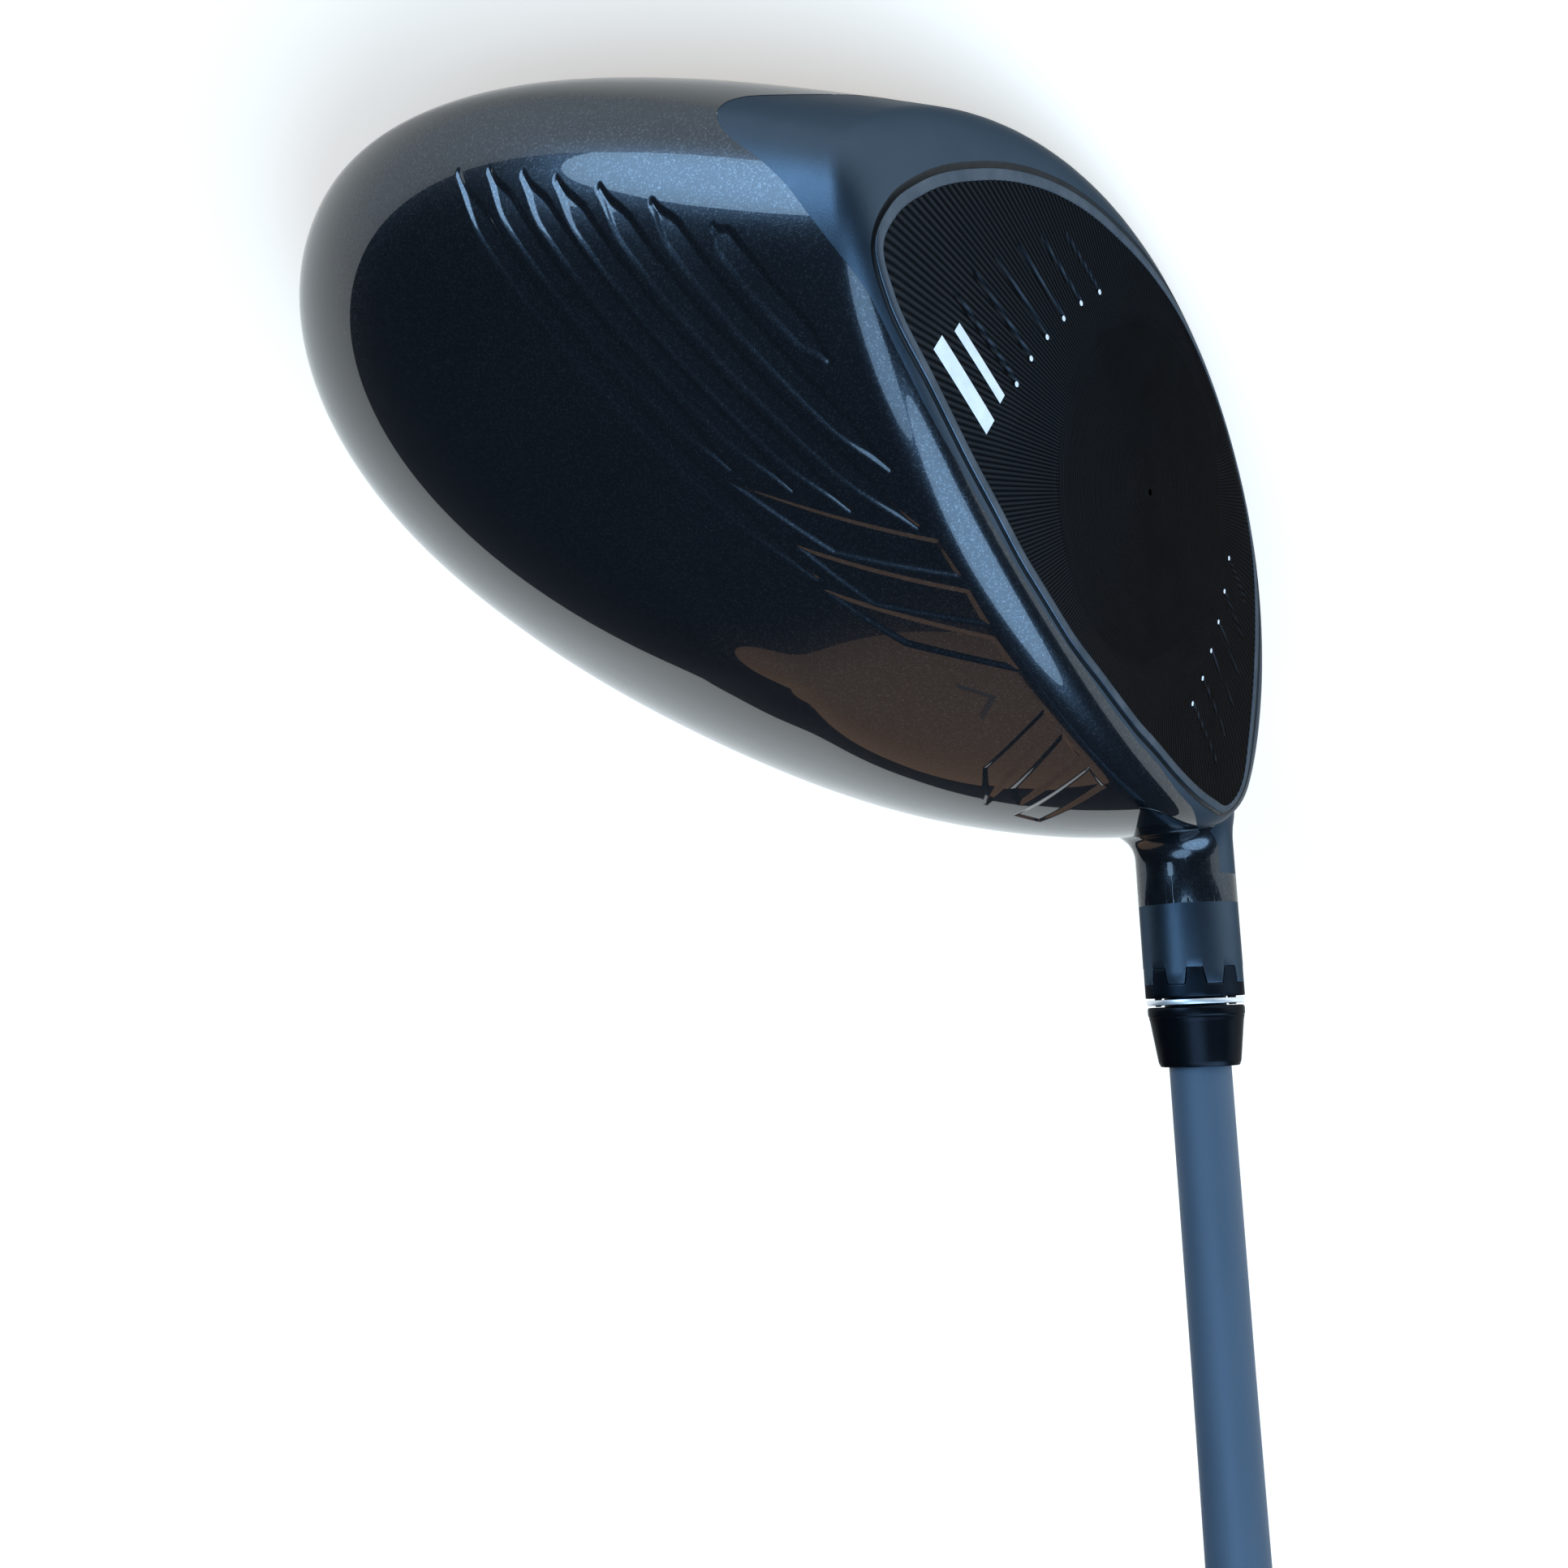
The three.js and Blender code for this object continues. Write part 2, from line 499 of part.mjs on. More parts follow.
function gripCap() {
  const { bottom, rimRadius, plugRadius, plugDepth, vent } = CAP;
  const shaftTop = SHAFT.butt + GAP;
  return turned([
    [plugRadius, shaftTop - plugDepth], [plugRadius, shaftTop], [GRIP.bore, shaftTop], [GRIP.bore, bottom], [rimRadius - 0.3, bottom],
    [rimRadius, bottom + 2], [rimRadius, CLUB_BUTT - 2.5], [rimRadius - 1.5, CLUB_BUTT - 0.6], [rimRadius - 3.5, CLUB_BUTT],
    [vent, CLUB_BUTT], [vent, shaftTop - plugDepth],
  ]);
}

// ---- Assembly ----

const driver = new THREE.Group();
const head = new THREE.Group();
const adapterLine = new THREE.Group();
adapterLine.applyMatrix4(hoselFrame);
driver.add(head, adapterLine);

function place(group, name, geometry, look) {
  const mesh = new THREE.Mesh(geometry, new THREE.MeshStandardMaterial(COLOURS[look]));
  mesh.name = name;
  group.add(mesh);
}

place(head, "body_shell", geometryOf(bodyShell()), "body");
place(head, "crown_shell", geometryOf(crownShell()), "crown");
place(head, "face_insert", geometryOf(faceInsert()), "face");
for (const [name, spot] of Object.entries(SOLE_PANELS)) place(head, name, geometryOf(solePanel(spot)), "carbon");

for (const [end, spot] of Object.entries(WEIGHTS)) {
  const group = new THREE.Group();
  group.applyMatrix4(weightFrame(spot));
  driver.add(group);
  const { screw, washer, insert } = weightPieces(spot);
  place(group, end + "_weight", screw, "steel");
  place(group, end + "_weight_washer", washer, "rubber");
  place(group, end + "_weight_insert", insert, "steel");
}

place(adapterLine, "adapter_sleeve", adapterSleeve(), "anodised");
place(adapterLine, "adapter_bolt", adapterBolt(), "steel");
place(adapterLine, "bolt_washer", tube(SEAT_WASHER.inner, SEAT_WASHER.outer, SEAT_WASHER.bottom, SEAT_WASHER.top), "steel");
place(adapterLine, "bolt_retainer", tube(RETAINER.inner, RETAINER.outer, RETAINER.bottom, RETAINER.top), "plastic");
place(adapterLine, "ferrule_ring", tube(SLEEVE.bore, RING.radius, RING.bottom, RING.top), "silver");
place(adapterLine, "ferrule", turned([
  [SLEEVE.bore, FERRULE.bottom], [FERRULE.bottomRadius, FERRULE.bottom], [FERRULE.topRadius, FERRULE.top - 0.6],
  [FERRULE.topRadius - 0.5, FERRULE.top], [SLEEVE.bore, FERRULE.top],
]), "plastic");
place(adapterLine, "shaft", shaftTube(), "shaft");
place(adapterLine, "shaft_tip_plug", rod(TIP_PLUG.radius, TIP_PLUG.bottom, TIP_PLUG.top, 16), "cork");
place(adapterLine, "grip_tape", tube(TAPE.inner, TAPE.outer, TAPE.bottom, TAPE.top), "cork");
place(adapterLine, "grip", gripSleeve(), "rubber");
place(adapterLine, "grip_cap", gripCap(), "rubber");

export default driver;
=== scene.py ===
import math
import bpy
import numpy as np
from mathutils import Matrix, Vector


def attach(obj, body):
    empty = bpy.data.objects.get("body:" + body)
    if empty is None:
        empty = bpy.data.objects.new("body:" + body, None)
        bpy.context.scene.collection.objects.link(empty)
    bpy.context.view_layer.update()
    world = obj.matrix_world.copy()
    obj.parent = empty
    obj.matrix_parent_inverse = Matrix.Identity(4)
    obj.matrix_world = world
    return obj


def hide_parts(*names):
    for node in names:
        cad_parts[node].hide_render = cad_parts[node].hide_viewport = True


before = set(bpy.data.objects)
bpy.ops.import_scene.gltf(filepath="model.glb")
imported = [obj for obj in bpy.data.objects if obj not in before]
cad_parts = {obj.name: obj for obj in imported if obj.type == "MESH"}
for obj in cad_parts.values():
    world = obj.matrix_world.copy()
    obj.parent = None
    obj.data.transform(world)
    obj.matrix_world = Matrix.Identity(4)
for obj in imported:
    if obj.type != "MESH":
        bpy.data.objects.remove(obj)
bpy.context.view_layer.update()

MM = 0.001

# ---- The head's surface: the same formulas as the CAD, in millimetres ----

CENTRE = np.array([0.0, 0.0, 31.3])
FACE_CENTRE = np.array([-5.7, -33.7, 31.3])
LOFT = math.radians(10.6)
FACE_RADIUS = 305.0
FACE_ROUND = 4.9
FACE_SPHERE = FACE_CENTRE + FACE_RADIUS * np.array([0.0, math.cos(LOFT), -math.sin(LOFT)])
HOSEL = np.array([-68.8, -14.0, 31.3])
LIE = math.radians(58.8)
AXIS = np.array([-math.cos(LIE), 0.0, math.sin(LIE)])
ACROSS = np.array([math.sin(LIE), 0.0, math.cos(LIE)])  # from the hosel towards the toe
HOSEL_R = 6.95


# The plan is a superellipse with its own reach to each side, slightly skewed. The coefficients of
# the plan, the waist, the crown and the sole come from fitting the outline in the photograph.
PLAN = {"toe": 61.4, "heel": 63.0, "back": 79.8, "front": 63.4, "power": 2.11}
SKEW = {"cos2": -0.02, "sin2": 0.076, "cos3": -0.03, "sin3": 0.042}
# The waist is the head's widest level. It drops from the face to the back.
WAIST = {"level": 28.9, "cos": 1.6, "sin": -17.8, "cos2": -1.4, "sin2": 0.6}
CROWN = {"top": 59.9, "plan_power": 1.57, "plan_power_back": -0.45, "rise_power": 1.82}
SOLE = {"bottom": -0.3, "plan_power": 2.38, "rise_power": 1.7}
FARTHEST = 160.0
HALVINGS = 16


def rim(theta):
    """Reach of the head's plan from its centre at each angle."""
    c, s = np.cos(theta), np.sin(theta)
    a = np.where(c > 0, PLAN["toe"], PLAN["heel"])
    b = np.where(s > 0, PLAN["back"], PLAN["front"])
    skew = (1 + SKEW["cos2"] * np.cos(2 * theta) + SKEW["sin2"] * np.sin(2 * theta)
            + SKEW["cos3"] * np.cos(3 * theta) + SKEW["sin3"] * np.sin(3 * theta))
    power = PLAN["power"]
    return skew * (np.abs(c / a) ** power + np.abs(s / b) ** power) ** (-1 / power)


def waist(theta):
    """Height of the head's widest level at each angle."""
    return (WAIST["level"] + WAIST["cos"] * np.cos(theta) + WAIST["sin"] * np.sin(theta)
            + WAIST["cos2"] * np.cos(2 * theta) + WAIST["sin2"] * np.sin(2 * theta))


def to_face(d):
    """Distance from the head's centre to the face's sphere along unit rays d."""
    to = CENTRE - FACE_SPHERE
    b = d @ to
    return -b + np.sqrt(np.maximum(b * b - to @ to + FACE_RADIUS ** 2, 0))


def reach(d):
    """Distance from the head's centre to its surface along unit rays d."""
    theta = np.arctan2(d[:, 1], d[:, 0])
    flat = np.hypot(d[:, 0], d[:, 1]) / rim(theta)
    w = waist(theta)
    side = CROWN["plan_power"] + CROWN["plan_power_back"] * np.sin(theta)
    up, down = CROWN["top"] - w, w - SOLE["bottom"]
    rise = d[:, 2]

    def field(s):
        z = CENTRE[2] + s * rise - w
        over = z >= 0
        f = s * flat
        height = np.where(over, z / up, -z / down)
        return (np.power(f, np.where(over, side, SOLE["plan_power"]))
                + np.power(height, np.where(over, CROWN["rise_power"], SOLE["rise_power"])) - 1)

    low, high = np.zeros(len(d)), np.full(len(d), FARTHEST)
    for _ in range(HALVINGS):
        mid = (low + high) / 2
        inside = field(mid) < 0
        low, high = np.where(inside, mid, low), np.where(inside, high, mid)
    f0, f1 = field(low), field(high)
    free = low + (high - low) * np.clip(-f0 / np.maximum(f1 - f0, 1e-12), 0, 1)
    face = to_face(d)
    mix = np.clip(0.5 + 0.5 * (face - free) / FACE_ROUND, 0, 1)
    return face * (1 - mix) + free * mix - FACE_ROUND * mix * (1 - mix)


def on_hosel(p):
    """Station along the hosel and distance from its axis."""
    q = p - HOSEL
    t = q @ AXIS
    return t, np.linalg.norm(q - t[:, None] * AXIS, axis=1)


NECK_BOTTOM = -17.5
NECK_FLARE = 0.6
NECK_FLARE_LENGTH = 17
NECK_FILLET = 13.0
FILLET_END = 13
FILLET_FADE = 14
FILLET_LEAST = 0.02


def head_field(p):
    """Negative inside the head: its form, with the hosel grown out of it."""
    q = p - CENTRE
    length = np.linalg.norm(q, axis=1)
    form = length - reach(q / np.maximum(length, 1e-9)[:, None])
    t, r = on_hosel(p)
    past_end = np.clip(NECK_BOTTOM - t, 0, None)
    tube = np.hypot(r, past_end) - HOSEL_R - NECK_FLARE * np.clip(-t / NECK_FLARE_LENGTH, 0, 1)
    blend = NECK_FILLET * np.clip((FILLET_END - t) / FILLET_FADE, FILLET_LEAST, 1)
    mix = np.clip(0.5 + 0.5 * (form - tube) / blend, 0, 1)
    return form * (1 - mix) + tube * mix - blend * mix * (1 - mix)


def gradient(p, field, step=0.05):
    g = np.empty_like(p)
    for k in range(3):
        e = np.zeros(3)
        e[k] = step
        g[:, k] = (field(p + e) - field(p - e)) / (2 * step)
    return g


def project(p, field, rounds=4):
    for _ in range(rounds):
        g = gradient(p, field)
        p = p - (field(p) / np.maximum((g * g).sum(1), 1e-9))[:, None] * g
    return p


def unit(v):
    return v / np.maximum(np.linalg.norm(v, axis=-1, keepdims=True), 1e-12)


def surface_net(field, low, high, step):
    """Points and triangles of a field's zero surface, one point in each grid cell that it crosses."""
    axes = [np.arange(a, b + step, step) for a, b in zip(low, high)]
    shape = [len(a) for a in axes]
    grid = np.stack(np.meshgrid(*axes, indexing="ij"), -1).reshape(-1, 3)
    values = np.concatenate([field(part) for part in np.array_split(grid, 12)]).reshape(shape)
    inside = values < 0
    cells = np.zeros([n - 1 for n in shape], int)
    for i in (0, 1):
        for j in (0, 1):
            for k in (0, 1):
                cells += inside[i:shape[0] - 1 + i, j:shape[1] - 1 + j, k:shape[2] - 1 + k]
    crossed = (cells > 0) & (cells < 8)
    number = np.full(crossed.shape, -1)
    number[crossed] = np.arange(crossed.sum())
    where = np.argwhere(crossed)
    points = np.array(low) + (where + 0.5) * step
    triangles = []
    for axis in range(3):
        u, v = (axis + 1) % 3, (axis + 2) % 3
        a = np.take(inside, range(shape[axis] - 1), axis)
        b = np.take(inside, range(1, shape[axis]), axis)
        for start, flip in ((a & ~b, False), (~a & b, True)):
            at = np.argwhere(start)
            at = at[(at[:, u] > 0) & (at[:, v] > 0) & (at[:, u] < shape[u] - 1) & (at[:, v] < shape[v] - 1)]
            ring = []
            for du, dv in ((-1, -1), (0, -1), (0, 0), (-1, 0)):
                c = at.copy()
                c[:, u] += du
                c[:, v] += dv
                ring.append(number[tuple(c.T)])
            if flip:
                ring = ring[::-1]
            triangles += [np.stack([ring[0], ring[1], ring[2]], 1), np.stack([ring[0], ring[2], ring[3]], 1)]
    return points, np.concatenate(triangles)


def clip(points, triangles, level):
    """The part of a triangle mesh where level is positive, cut exactly along its zero line."""
    v = level(points)
    v = np.where(np.abs(v) < 1e-6, 1e-6, v)
    keep = v > 0
    count = keep[triangles].sum(1)
    whole = triangles[count == 3]
    new, cut = [], {}
    extra = []

    def edge(a, b):
        key = (a, b) if a < b else (b, a)
        if key not in cut:
            s = v[a] / (v[a] - v[b])
            cut[key] = len(points) + len(extra)
            extra.append(points[a] + s * (points[b] - points[a]))
        return cut[key]

    for tri in triangles[(count == 1) | (count == 2)]:
        flags = keep[tri]
        lone = int(np.argmax(flags)) if flags.sum() == 1 else int(np.argmin(flags))
        a, b, c = (int(tri[(lone + k) % 3]) for k in range(3))
        ab, ac = edge(a, b), edge(a, c)
        new += [(a, ab, ac)] if keep[a] else [(ab, b, c), (ab, c, ac)]
    points = np.concatenate([points, np.array(extra).reshape(-1, 3)])
    triangles = np.concatenate([whole, np.array(new, int).reshape(-1, 3)])
    used, index = np.unique(triangles, return_inverse=True)
    return points[used], index.reshape(-1, 3)


def split(points, triangles, chosen):
    """Chosen triangles each cut into four."""
    picked = triangles[chosen]
    edges = np.sort(np.concatenate([picked[:, [0, 1]], picked[:, [1, 2]], picked[:, [2, 0]]]), 1)
    kinds, index = np.unique(edges, axis=0, return_inverse=True)
    middles = points[kinds].mean(1)
    m = index.reshape(3, -1) + len(points)
    a, b, c = picked.T
    ab, bc, ca = m
    four = np.concatenate([np.stack(x, 1) for x in ((a, ab, ca), (ab, b, bc), (ca, bc, c), (ab, bc, ca))])
    return np.concatenate([points, middles]), np.concatenate([triangles[~chosen], four])


# ---- Meshes ----

def mesh_object(name, points, faces, material, normals=None):
    """A smooth-shaded object from points in millimetres, with its own normals where they are given."""
    mesh = bpy.data.meshes.new(name)
    mesh.from_pydata((np.asarray(points) * MM).tolist(), [], [list(map(int, f)) for f in faces])
    mesh.validate()
    mesh.shade_smooth()
    if normals is not None and len(mesh.vertices) == len(normals):
        mesh.normals_split_custom_set_from_vertices(normals.tolist())
    mesh.materials.append(material)
    thing = bpy.data.objects.new(name, mesh)
    bpy.context.scene.collection.objects.link(thing)
    return thing


def grid_faces(rows, columns, closed=True):
    """Quads over rows of points; each row closes on itself unless told otherwise."""
    r = np.arange(rows - 1)[:, None] * columns
    last = columns if closed else columns - 1
    c = np.arange(last)[None, :]
    n = (c + 1) % columns
    return np.stack([r + c, r + n, r + columns + n, r + columns + c], -1).reshape(-1, 4)


def hosel_point(radius, station, turn):
    side = np.array([0.0, 1.0, 0.0])
    radius, station, turn = np.broadcast_arrays(radius, station, turn)
    return (HOSEL + station[..., None] * AXIS
            + (radius * np.cos(turn))[..., None] * ACROSS + (radius * np.sin(turn))[..., None] * side)


def bevelled(outline, bevel):
    """An outline of (radius, station) with each corner cut back and rounded by two extra points."""
    out = []
    for i, (r, t) in enumerate(outline):
        if 0 < i < len(outline) - 1:
            p = np.array([r, t])
            a, b = np.array(outline[i - 1]) - p, np.array(outline[i + 1]) - p
            la, lb = np.linalg.norm(a), np.linalg.norm(b)
            size = min(bevel, la * 0.45, lb * 0.45)
            pa, pb = p + a / la * size, p + b / lb * size
            out += [tuple(pa), tuple((pa + pb + 2 * p) / 4), tuple(pb)]
        else:
            out.append((r, t))
    return out


LATHE_SIDES = 128


def lathe(name, outline, material, bevel=0.12):
    """A turned piece on the hosel's axis; the outline runs from its foot up the outside."""
    rows = bevelled(outline, bevel)
    turn = np.linspace(0, 2 * math.pi, LATHE_SIDES, endpoint=False)
    radius, station = (np.array(column)[:, None] for column in zip(*rows))
    points = hosel_point(radius, station, turn[None, :]).reshape(-1, 3)
    faces = grid_faces(len(rows), LATHE_SIDES)[:, ::-1]
    thing = mesh_object(name, points, faces, material)
    thing.data.set_sharp_from_angle(angle=math.radians(38))
    return thing


# ---- What the frame is told about each piece ----

def placed(piece, body, slot, *nodes):
    """Say which body a piece rides on and which CAD nodes it stands for, hiding those nodes; the slot
    argument is not used.
    """
    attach(piece, body)
    if nodes:
        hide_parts(*nodes)


# ---- Materials ----

def material(name, colour, metallic=0.0, roughness=0.4, coat=0.0, coat_roughness=0.05,
             specular=0.5, edge=1.0):
    """A plain material; a lower edge mirrors less of what is seen at a low angle."""
    made = bpy.data.materials.new(name)
    made.use_nodes = True
    shader = made.node_tree.nodes["Principled BSDF"]
    shader.inputs["Base Color"].default_value = (*colour, 1)
    shader.inputs["Metallic"].default_value = metallic
    shader.inputs["Roughness"].default_value = roughness
    shader.inputs["Coat Weight"].default_value = coat
    shader.inputs["Coat Roughness"].default_value = coat_roughness
    shader.inputs["Specular Tint"].default_value = (edge, edge, edge, 1)
    shader.inputs["Specular IOR Level"].default_value = specular
    return made


def tree(made):
    return made.node_tree, made.node_tree.nodes["Principled BSDF"]


def node(nodes, kind, **values):
    """A new node with some of its inputs set."""
    made = nodes.nodes.new(kind)
    for key, value in values.items():
        made.inputs[key].default_value = value
    return made


def maths(nodes, operation, a, b=None):
    """A sum on one or two values, each a number or a socket."""
    made = nodes.nodes.new("ShaderNodeMath")
    made.operation = operation
    for slot, value in zip(made.inputs, (a, b)):
        if value is None:
            continue
        if isinstance(value, (int, float)):
            slot.default_value = value
        else:
            nodes.links.new(value, slot)
    return made.outputs[0]


def object_place(nodes):
    """Each point's place on the piece, in metres."""
    return nodes.nodes.new("ShaderNodeTexCoord").outputs["Object"]


def noise(nodes, scale, detail=3.0, rough=0.55):
    """Noise over the piece, from 0 to 1."""
    made = node(nodes, "ShaderNodeTexNoise", Scale=scale, Detail=detail, Roughness=rough)
    nodes.links.new(object_place(nodes), made.inputs["Vector"])
    return made.outputs[0]


def ramp(nodes, value, low, high, out_low, out_high):
    """A value stretched from one range to another and held at its ends."""
    made = nodes.nodes.new("ShaderNodeMapRange")
    made.inputs["From Min"].default_value = low
    made.inputs["From Max"].default_value = high
    made.inputs["To Min"].default_value = out_low
    made.inputs["To Max"].default_value = out_high
    nodes.links.new(value, made.inputs["Value"])
    return made.outputs[0]


def mixed(nodes, factor, a, b):
    """A colour between a and b, each of them a colour or a socket."""
    made = nodes.nodes.new("ShaderNodeMix")
    made.data_type = "RGBA"
    for value, name in ((factor, "Factor"), (a, "A"), (b, "B")):
        if isinstance(value, tuple):
            made.inputs[name].default_value = (*value, 1)
        else:
            nodes.links.new(value, made.inputs[name])
    return made.outputs["Result"]


def bump(nodes, shader, height, strength=0.2, distance=0.0001):
    made = node(nodes, "ShaderNodeBump", Strength=strength, Distance=distance)
    nodes.links.new(height, made.inputs["Height"])
    nodes.links.new(made.outputs[0], shader.inputs["Normal"])
    return made


def uneven(nodes, shader, scale, detail, low, high, least, most):
    """Roughness that varies over the piece between least and most."""
    rough = ramp(nodes, noise(nodes, scale, detail), low, high, least, most)
    nodes.links.new(rough, shader.inputs["Roughness"])


def finished(made, first, second, scale, roughness, grain, strength, distance=0.00005):
    """Colour that drifts between two shades, roughness that varies more finely, and a fine grain."""
    nodes, shader = tree(made)
    drift = ramp(nodes, noise(nodes, scale, 4.0), 0.3, 0.7, 0, 1)
    nodes.links.new(mixed(nodes, drift, first, second), shader.inputs["Base Color"])
    uneven(nodes, shader, scale * 3.1, 5.0, 0.25, 0.75, *roughness)
    bump(nodes, shader, noise(nodes, grain, 2.0, 0.6), strength, distance)
    return made


FLAKES_PER_METRE = 7000
TOW_WIDTH = 0.0021
MILL_RADIUS = 19.0
MILL_CENTRE_UP = 0.5
RIDGES = 340
TURNED_MARK = 0.00042
FINE_MARK = 0.0003


def flaked_lacquer():
    """Fine metal flake under a clear coat, a little uneven in tone and in gloss."""
    made = material("gloss_lacquer", (0.04, 0.05, 0.07), 0.9, 0.3, coat=0.65, coat_roughness=0.02, edge=0.12)
    nodes, shader = tree(made)
    flake = node(nodes, "ShaderNodeTexVoronoi", Scale=FLAKES_PER_METRE)
    nodes.links.new(object_place(nodes), flake.inputs["Vector"])
    sparkle = ramp(nodes, flake.outputs["Color"], 0.62, 1.0, 0, 1)
    drift = ramp(nodes, noise(nodes, 14, 2.0), 0.35, 0.65, 0, 1)
    base = mixed(nodes, drift, (0.026, 0.033, 0.043), (0.033, 0.042, 0.054))
    nodes.links.new(mixed(nodes, sparkle, base, (0.085, 0.1, 0.12)), shader.inputs["Base Color"])
    uneven(nodes, shader, 45, 5.0, 0.3, 0.7, 0.2, 0.27)
    bump(nodes, shader, flake.outputs["Distance"], 0.06, 0.00005)
    return made


def woven_carbon():
    """Carbon twill, two tows over and two under, below a clear coat."""
    made = material("sole_carbon", (0.012, 0.0125, 0.014), 0.1, 0.35, coat=0.8, coat_roughness=0.12)
    nodes, shader = tree(made)
    place = nodes.nodes.new("ShaderNodeSeparateXYZ")
    nodes.links.new(object_place(nodes), place.inputs[0])
    u = maths(nodes, "MULTIPLY", place.outputs["X"], 1 / TOW_WIDTH)
    v = maths(nodes, "MULTIPLY", place.outputs["Y"], 1 / TOW_WIDTH)
    steps = maths(nodes, "SUBTRACT", maths(nodes, "FLOOR", u), maths(nodes, "FLOOR", v))
    twill = maths(nodes, "LESS_THAN", maths(nodes, "FLOORED_MODULO", steps, 4), 2)
    along = maths(nodes, "ABSOLUTE", maths(nodes, "SINE", maths(nodes, "MULTIPLY", u, math.pi)))
    across = maths(nodes, "ABSOLUTE", maths(nodes, "SINE", maths(nodes, "MULTIPLY", v, math.pi)))
    under = maths(nodes, "MULTIPLY", maths(nodes, "SUBTRACT", 1, twill), across)
    tow = maths(nodes, "ADD", maths(nodes, "MULTIPLY", twill, along), under)
    tone = mixed(nodes, tow, (0.006, 0.0062, 0.007), (0.03, 0.031, 0.034))
    nodes.links.new(tone, shader.inputs["Base Color"])
    uneven(nodes, shader, 400, 3.0, 0.3, 0.7, 0.28, 0.45)
    bump(nodes, shader, tow, 0.25, 0.00008)
    return made


def milled_titanium():
    """Turned marks inside the circle; outside it, pale streaks on the radial ridges' crests, a painted
    sheen; the tone warms towards the heel, a painted reflection.
    """
    made = material("milled_titanium", (0.01, 0.01, 0.01), 0.95, 0.4, edge=0.12)
    nodes, shader = tree(made)
    centred = nodes.nodes.new("ShaderNodeMapping")
    centred.inputs["Location"].default_value = tuple(-FACE_CENTRE * MM)
    nodes.links.new(object_place(nodes), centred.inputs["Vector"])
    place = nodes.nodes.new("ShaderNodeSeparateXYZ")
    nodes.links.new(centred.outputs[0], place.inputs[0])
    side = place.outputs["X"]
    up_face = maths(nodes, "ADD", maths(nodes, "MULTIPLY", place.outputs["Z"], math.cos(LOFT)),
                    maths(nodes, "MULTIPLY", place.outputs["Y"], math.sin(LOFT)))
    up = maths(nodes, "SUBTRACT", up_face, MILL_CENTRE_UP * MM)
    squares = maths(nodes, "ADD", maths(nodes, "MULTIPLY", side, side), maths(nodes, "MULTIPLY", up, up))
    radius = maths(nodes, "SQRT", squares)
    angle = maths(nodes, "ARCTAN2", up, side)
    outside = ramp(nodes, radius, (MILL_RADIUS - 0.1) * MM, (MILL_RADIUS + 0.1) * MM, 0, 1)
    in_circle = maths(nodes, "SUBTRACT", 1, outside)
    turned = maths(nodes, "SINE", maths(nodes, "MULTIPLY", radius, 2 * math.pi / TURNED_MARK))
    fine = maths(nodes, "SINE", maths(nodes, "MULTIPLY", radius, 2 * math.pi / FINE_MARK))
    height = maths(nodes, "ADD", maths(nodes, "MULTIPLY", maths(nodes, "MULTIPLY", turned, in_circle), 0.5),
                   maths(nodes, "MULTIPLY", fine, 0.18))
    # Painted reflection: the face's tone turns warmer towards the heel.
    warm_reflection = ramp(nodes, side, -0.045, 0.02, 0, 1)
    tone = mixed(nodes, warm_reflection, (0.02, 0.013, 0.009), (0.006, 0.0075, 0.0095))
    # Painted sheen: the crests of the radial ridges outside the circle are painted pale, and the circle's
    # inside is lifted a little towards the same pale shade.
    ridge = ramp(nodes, maths(nodes, "SINE", maths(nodes, "MULTIPLY", angle, RIDGES)), -1, 1, 0, 1)
    ridge_sheen_and_lift = maths(nodes, "ADD", maths(nodes, "MULTIPLY", maths(nodes, "MULTIPLY", ridge, outside), 0.55),
                   maths(nodes, "MULTIPLY", in_circle, 0.2))
    nodes.links.new(mixed(nodes, ridge_sheen_and_lift, tone, (0.045, 0.052, 0.062)), shader.inputs["Base Color"])
    uneven(nodes, shader, 220, 4.0, 0.3, 0.7, 0.34, 0.5)
    bump(nodes, shader, height, 0.3, 0.00006)
    return made


# Each plain finish: two shades, size of the drift, range of roughness, and size and strength of the grain.
satin = finished(
    material("satin_paint", (0.05, 0.07, 0.1), 0.9, 0.33, edge=0.35),
    (0.046, 0.068, 0.096), (0.058, 0.083, 0.115), 60, (0.3, 0.37), 9000, 0.35)
gloss = flaked_lacquer()
milled = milled_titanium()
bright_edge = finished(
    material("face_bevel", (0.08, 0.1, 0.13), 0.9, 0.35, edge=0.4),
    (0.06, 0.08, 0.105), (0.1, 0.125, 0.16), 300, (0.3, 0.42), 7000, 0.3)
groove_black = finished(
    material("face_groove", (0.006, 0.006, 0.007), 0.2, 0.5),
    (0.004, 0.004, 0.005), (0.009, 0.009, 0.01), 300, (0.45, 0.6), 7000, 0.2)
carbon = woven_carbon()
sleeve_black = finished(
    material("sleeve_anodised", (0.012, 0.018, 0.027), 0.9, 0.34, edge=0.25),
    (0.01, 0.016, 0.025), (0.015, 0.022, 0.032), 120, (0.3, 0.4), 8000, 0.25)
ring_silver = finished(
    material("ring_silver", (0.8, 0.81, 0.83), 0.75, 0.35),
    (0.76, 0.77, 0.79), (0.86, 0.87, 0.89), 500, (0.3, 0.42), 5000, 0.15)
ferrule_black = finished(
    material("ferrule_black", (0.008, 0.01, 0.014), 0.8, 0.28, edge=0.3),
    (0.007, 0.009, 0.013), (0.011, 0.014, 0.019), 90, (0.26, 0.36), 6000, 0.15)
